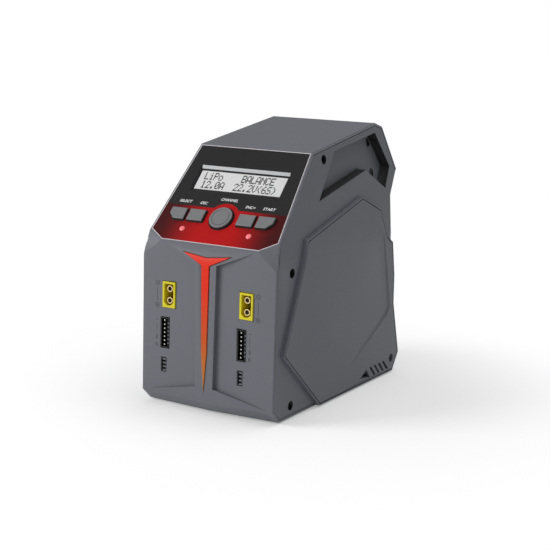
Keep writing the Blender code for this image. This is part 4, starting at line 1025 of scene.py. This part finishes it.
class CHARGER_OT_marks(ChargerOperator, bpy.types.Operator):
    """Printed signs and numbers beside the sockets"""

    bl_idname = "charger.marks"
    bl_label = "Socket marks"

    def execute(self, context):
        ink = plain_surface("mark_ink", settings("sockets").mark_colour, 0.6)
        marks = bmesh.new()
        high = 0.04

        def bar(u, v, half_u, half_v):
            corner = (u - half_u, v - half_v, INK_LOW)
            merge_in(marks, block(corner, (u + half_u, v + half_v, high)))

        for u_signs, u_numbers in ((-36.1, -36.4), (35.3, 30.1)):
            for v, is_plus in ((75.9, False), (62.1, True)):
                merge_in(marks, ring(circle_points(u_signs, v, 1.5), 0.3, INK_LOW, high))
                bar(u_signs, v, 0.75, 0.14)
                if is_plus:
                    bar(u_signs, v, 0.14, 0.75)
            bar(u_signs, 69.0, 0.14, 4.2)
            bar(u_numbers, 48.2, 0.12, 2.5)
            bar(u_numbers, 53.05, 0.8, 0.15)
            for digit, v in (("2", 42.2), ("0", 37.5)):
                merge_in(marks, lettering(digit, 1.5, 2.3, u_numbers, v, INK_LOW, high))
        make_piece("socket_marks", placed(marks, ON_FRONT), ink)
        return {"FINISHED"}


class CHARGER_OT_rear(ChargerOperator, bpy.types.Operator):
    """Rear panel, mains inlet with its blades, and the cooling fan"""

    bl_idname = "charger.rear"
    bl_label = "Rear panel and fan"

    def execute(self, context):
        bm = round_edges(node_copy("rear_panel"), 0.0002, least=0.002, angle=60.0)
        make_piece("rear_grille_panel", bm, cover_plastic(), replaces=["rear_panel"])
        bm = round_edges(node_copy("mains_inlet"), 0.0004, least=0.004, angle=60.0)
        dark = dark_plastic()
        make_piece("mains_inlet_body", bm, dark, replaces=["mains_inlet"])
        low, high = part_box("mains_inlet")
        blades = bmesh.new()
        middle = (low.x + high.x) / 2
        for across, rise in ((-7.0, -2.0), (7.0, -2.0), (0.0, 2.0)):
            x, z = middle + across * MM, (INLET_Z + rise + FOOT_LIFT) * MM
            blade_low = (x - 0.00104, high.y - 0.0155, z - 0.00204)
            blade_high = (x + 0.00104, high.y - 0.00595, z + 0.00204)
            merge_in(blades, block(blade_low, blade_high, 0.0003))
        make_piece("mains_inlet_blades", blades, bright_metal())
        paint("fan_frame", dark)
        paint("fan_rotor", plain_surface("fan_plastic", srgb(30, 30, 32), 0.35))
        return {"FINISHED"}


class CHARGER_OT_inside(ChargerOperator, bpy.types.Operator):
    """Finishes for the boards and parts inside, and for the feet"""

    bl_idname = "charger.inside"
    bl_label = "Inner parts"

    def execute(self, context):
        for node in ("main_board", "output_board", "power_board", "key_board"):
            paint(node, circuit_board())
        paint("display_module", plain_surface("display_case", srgb(210, 211, 208), 0.4))
        tape = banded("transformer_tape", srgb(34, 34, 36), srgb(150, 120, 30), "Z", 0.009, 0.45)
        paint("transformer", tape)
        copper = srgb(186, 104, 52)
        winding = banded("copper_winding", copper, srgb(120, 60, 28), "X", 0.0011, 0.3, 1.0)
        paint("filter_coil", winding)
        sleeve = banded("capacitor_sleeve", srgb(24, 32, 70), srgb(60, 66, 92), "Z", 0.016, 0.35)
        for number in (1, 2):
            paint(f"bulk_capacitor_{number}", sleeve)
        pale = srgb(190, 191, 194)
        fins = banded("drawn_aluminium", pale, srgb(170, 171, 174), "Z", 0.0006, 0.35, 1.0)
        for _, word in SIDES:
            paint(f"heatsink_{word}", fins)
        paint("buzzer", dark_plastic())
        grey = srgb(168, 168, 172)
        ribbon = banded("ribbon_grey", grey, srgb(120, 120, 124), "X", 0.0012, 0.5)
        paint("ribbon_cable", ribbon)
        rubber = plain_surface("foot_rubber", srgb(26, 26, 26), 0.8, grain=600.0, relief=0.5)
        for end in ("front", "rear"):
            for _, word in SIDES:
                node = f"foot_{end}_{word}"
                bm = round_edges(node_copy(node), 0.0004, least=0.001, angle=40.0)
                make_piece(f"{node}_pad", bm, rubber, replaces=[node])
        return {"FINISHED"}


class CHARGER_OT_stage(ChargerOperator, bpy.types.Operator):
    """Studio floor, lamps, room light and camera"""

    bl_idname = "charger.stage"
    bl_label = "Studio"

    def execute(self, context):
        scene = context.scene
        scene.view_settings.view_transform = "Standard"
        self.floor()
        self.room(scene)
        self.lamps()
        self.camera(scene)
        return {"FINISHED"}

    def floor(self):
        bm = bmesh.new()
        bmesh.ops.create_grid(bm, x_segments=2, y_segments=2, size=4.0)
        mesh = bpy.data.meshes.new("studio_floor")
        bm.to_mesh(mesh)
        bm.free()
        floor = bpy.data.objects.new("studio_floor", mesh)
        bpy.context.scene.collection.objects.link(floor)
        material = bpy.data.materials.new("studio_floor")
        material.use_nodes = True
        tree = material.node_tree
        shader = tree.nodes["Principled BSDF"]
        shader.inputs["Base Color"].default_value = (*settings("stage").floor_colour, 1.0)
        shader.inputs["Roughness"].default_value = 0.9
        shader.inputs["Specular IOR Level"].default_value = 0.0
        place = tree.nodes.new("ShaderNodeTexCoord")
        length = tree.nodes.new("ShaderNodeVectorMath")
        length.operation = "LENGTH"
        tree.links.new(place.outputs["Object"], length.inputs[0])
        far = map_range(tree, length.outputs["Value"], 0.10, 0.24, smooth=True)
        rays = tree.nodes.new("ShaderNodeLightPath").outputs
        seen = maths(tree, "MAXIMUM", rays["Is Camera Ray"], rays["Is Glossy Ray"])
        seen = maths(tree, "MAXIMUM", seen, rays["Is Transmission Ray"])
        share = maths(tree, "MULTIPLY", far, seen)
        white = add_node(tree, "ShaderNodeEmission", Strength=1.0)
        lift = tree.nodes.new("ShaderNodeEmission")
        tree.links.new(maths(tree, "MULTIPLY", seen, FLOOR_LIFT), lift.inputs["Strength"])
        lifted = tree.nodes.new("ShaderNodeAddShader")
        tree.links.new(shader.outputs[0], lifted.inputs[0])
        tree.links.new(lift.outputs[0], lifted.inputs[1])
        mix = tree.nodes.new("ShaderNodeMixShader")
        tree.links.new(share, mix.inputs[0])
        tree.links.new(lifted.outputs[0], mix.inputs[1])
        tree.links.new(white.outputs[0], mix.inputs[2])
        tree.links.new(mix.outputs[0], tree.nodes["Material Output"].inputs["Surface"])
        mesh.materials.append(material)

    def room(self, scene):
        world = bpy.data.worlds.new("studio_room")
        scene.world = world
        world.use_nodes = True
        tree = world.node_tree
        tree.nodes.clear()
        out = tree.nodes.new("ShaderNodeOutputWorld")
        light = add_node(tree, "ShaderNodeBackground", Strength=settings("stage").room_light)
        seen_white = add_node(tree, "ShaderNodeBackground", Strength=1.0)
        light.inputs["Color"].default_value = (1.0, 1.0, 1.0, 1.0)
        seen_white.inputs["Color"].default_value = (1.0, 1.0, 1.0, 1.0)
        rays = tree.nodes.new("ShaderNodeLightPath").outputs
        mix = tree.nodes.new("ShaderNodeMixShader")
        seen = maths(tree, "MAXIMUM", rays["Is Camera Ray"], rays["Is Transmission Ray"])
        tree.links.new(seen, mix.inputs[0])
        tree.links.new(light.outputs[0], mix.inputs[1])
        tree.links.new(seen_white.outputs[0], mix.inputs[2])
        tree.links.new(mix.outputs[0], out.inputs["Surface"])

    def lamps(self):
        given = settings("stage")
        lamps = (
            ("front_left_lamp", (-0.95, -0.95, 0.62), 0.7, given.key_power),
            ("top_lamp", (0.22, 0.2, 1.15), 0.8, given.top_power),
        )
        for name, place, size, power in lamps:
            data = bpy.data.lights.new(name, "AREA")
            data.size = size
            data.energy = power
            lamp = bpy.data.objects.new(name, data)
            lamp.location = place
            aim = Vector((0.0, 0.0, 0.08)) - Vector(place)
            lamp.rotation_euler = aim.to_track_quat("-Z", "Y").to_euler()
            bpy.context.scene.collection.objects.link(lamp)

    def camera(self, scene):
        turn, rise, roll = math.radians(30.71), math.radians(11.33), math.radians(1.5)
        level = math.cos(rise)
        back = Vector((math.sin(turn) * level, -math.cos(turn) * level, math.sin(rise)))
        right = Vector((math.cos(turn), math.sin(turn), 0.0))
        up = back.cross(right)
        rolled_right = right * math.cos(roll) + up * math.sin(roll)
        rolled_up = up * math.cos(roll) - right * math.sin(roll)
        data = bpy.data.cameras.new("studio_camera")
        data.lens = 85.86
        data.sensor_width = 36.0
        data.shift_x = 0.02834
        data.shift_y = 0.01584
        data.clip_start = 0.01
        camera = bpy.data.objects.new("studio_camera", data)
        target = Vector((0.0, -0.02225, 0.0710))
        place = target + back * 0.82926
        axes = Matrix((rolled_right, rolled_up, back)).transposed().to_4x4()
        camera.matrix_world = Matrix.Translation(place) @ axes
        scene.collection.objects.link(camera)
        scene.camera = camera


class VIEW3D_PT_charger(bpy.types.Panel):
    """Settings and pieces of the charger"""

    bl_label = "Balance charger"
    bl_space_type = "VIEW_3D"
    bl_region_type = "UI"
    bl_category = "Charger"

    def draw(self, context):
        for setting in SETTINGS:
            group = getattr(context.scene, setting)
            box = self.layout.box()
            for name in group.__annotations__:
                box.prop(group, name)
        for operator in OPERATORS:
            self.layout.operator(operator.bl_idname)


SETTINGS = {
    "charger_case": ChargerCaseSettings,
    "charger_panel": ChargerPanelSettings,
    "charger_sockets": ChargerSocketSettings,
    "charger_stage": ChargerStageSettings,
}
OPERATORS = (
    CHARGER_OT_stage,
    CHARGER_OT_housing,
    CHARGER_OT_covers,
    CHARGER_OT_plates,
    CHARGER_OT_screws,
    CHARGER_OT_panel,
    CHARGER_OT_display,
    CHARGER_OT_keys,
    CHARGER_OT_lights,
    CHARGER_OT_accent,
    CHARGER_OT_outputs,
    CHARGER_OT_balance,
    CHARGER_OT_marks,
    CHARGER_OT_rear,
    CHARGER_OT_inside,
)


def register():
    for cls in (*SETTINGS.values(), *OPERATORS, VIEW3D_PT_charger):
        bpy.utils.register_class(cls)
    for name, cls in SETTINGS.items():
        setattr(bpy.types.Scene, name, bpy.props.PointerProperty(type=cls))


def unregister():
    for name in SETTINGS:
        delattr(bpy.types.Scene, name)
    for cls in reversed((*SETTINGS.values(), *OPERATORS, VIEW3D_PT_charger)):
        bpy.utils.unregister_class(cls)


def main():
    register()
    for operator in OPERATORS:
        group, name = operator.bl_idname.split(".")
        getattr(getattr(bpy.ops, group), name)()


if __name__ == "__main__":
    main()
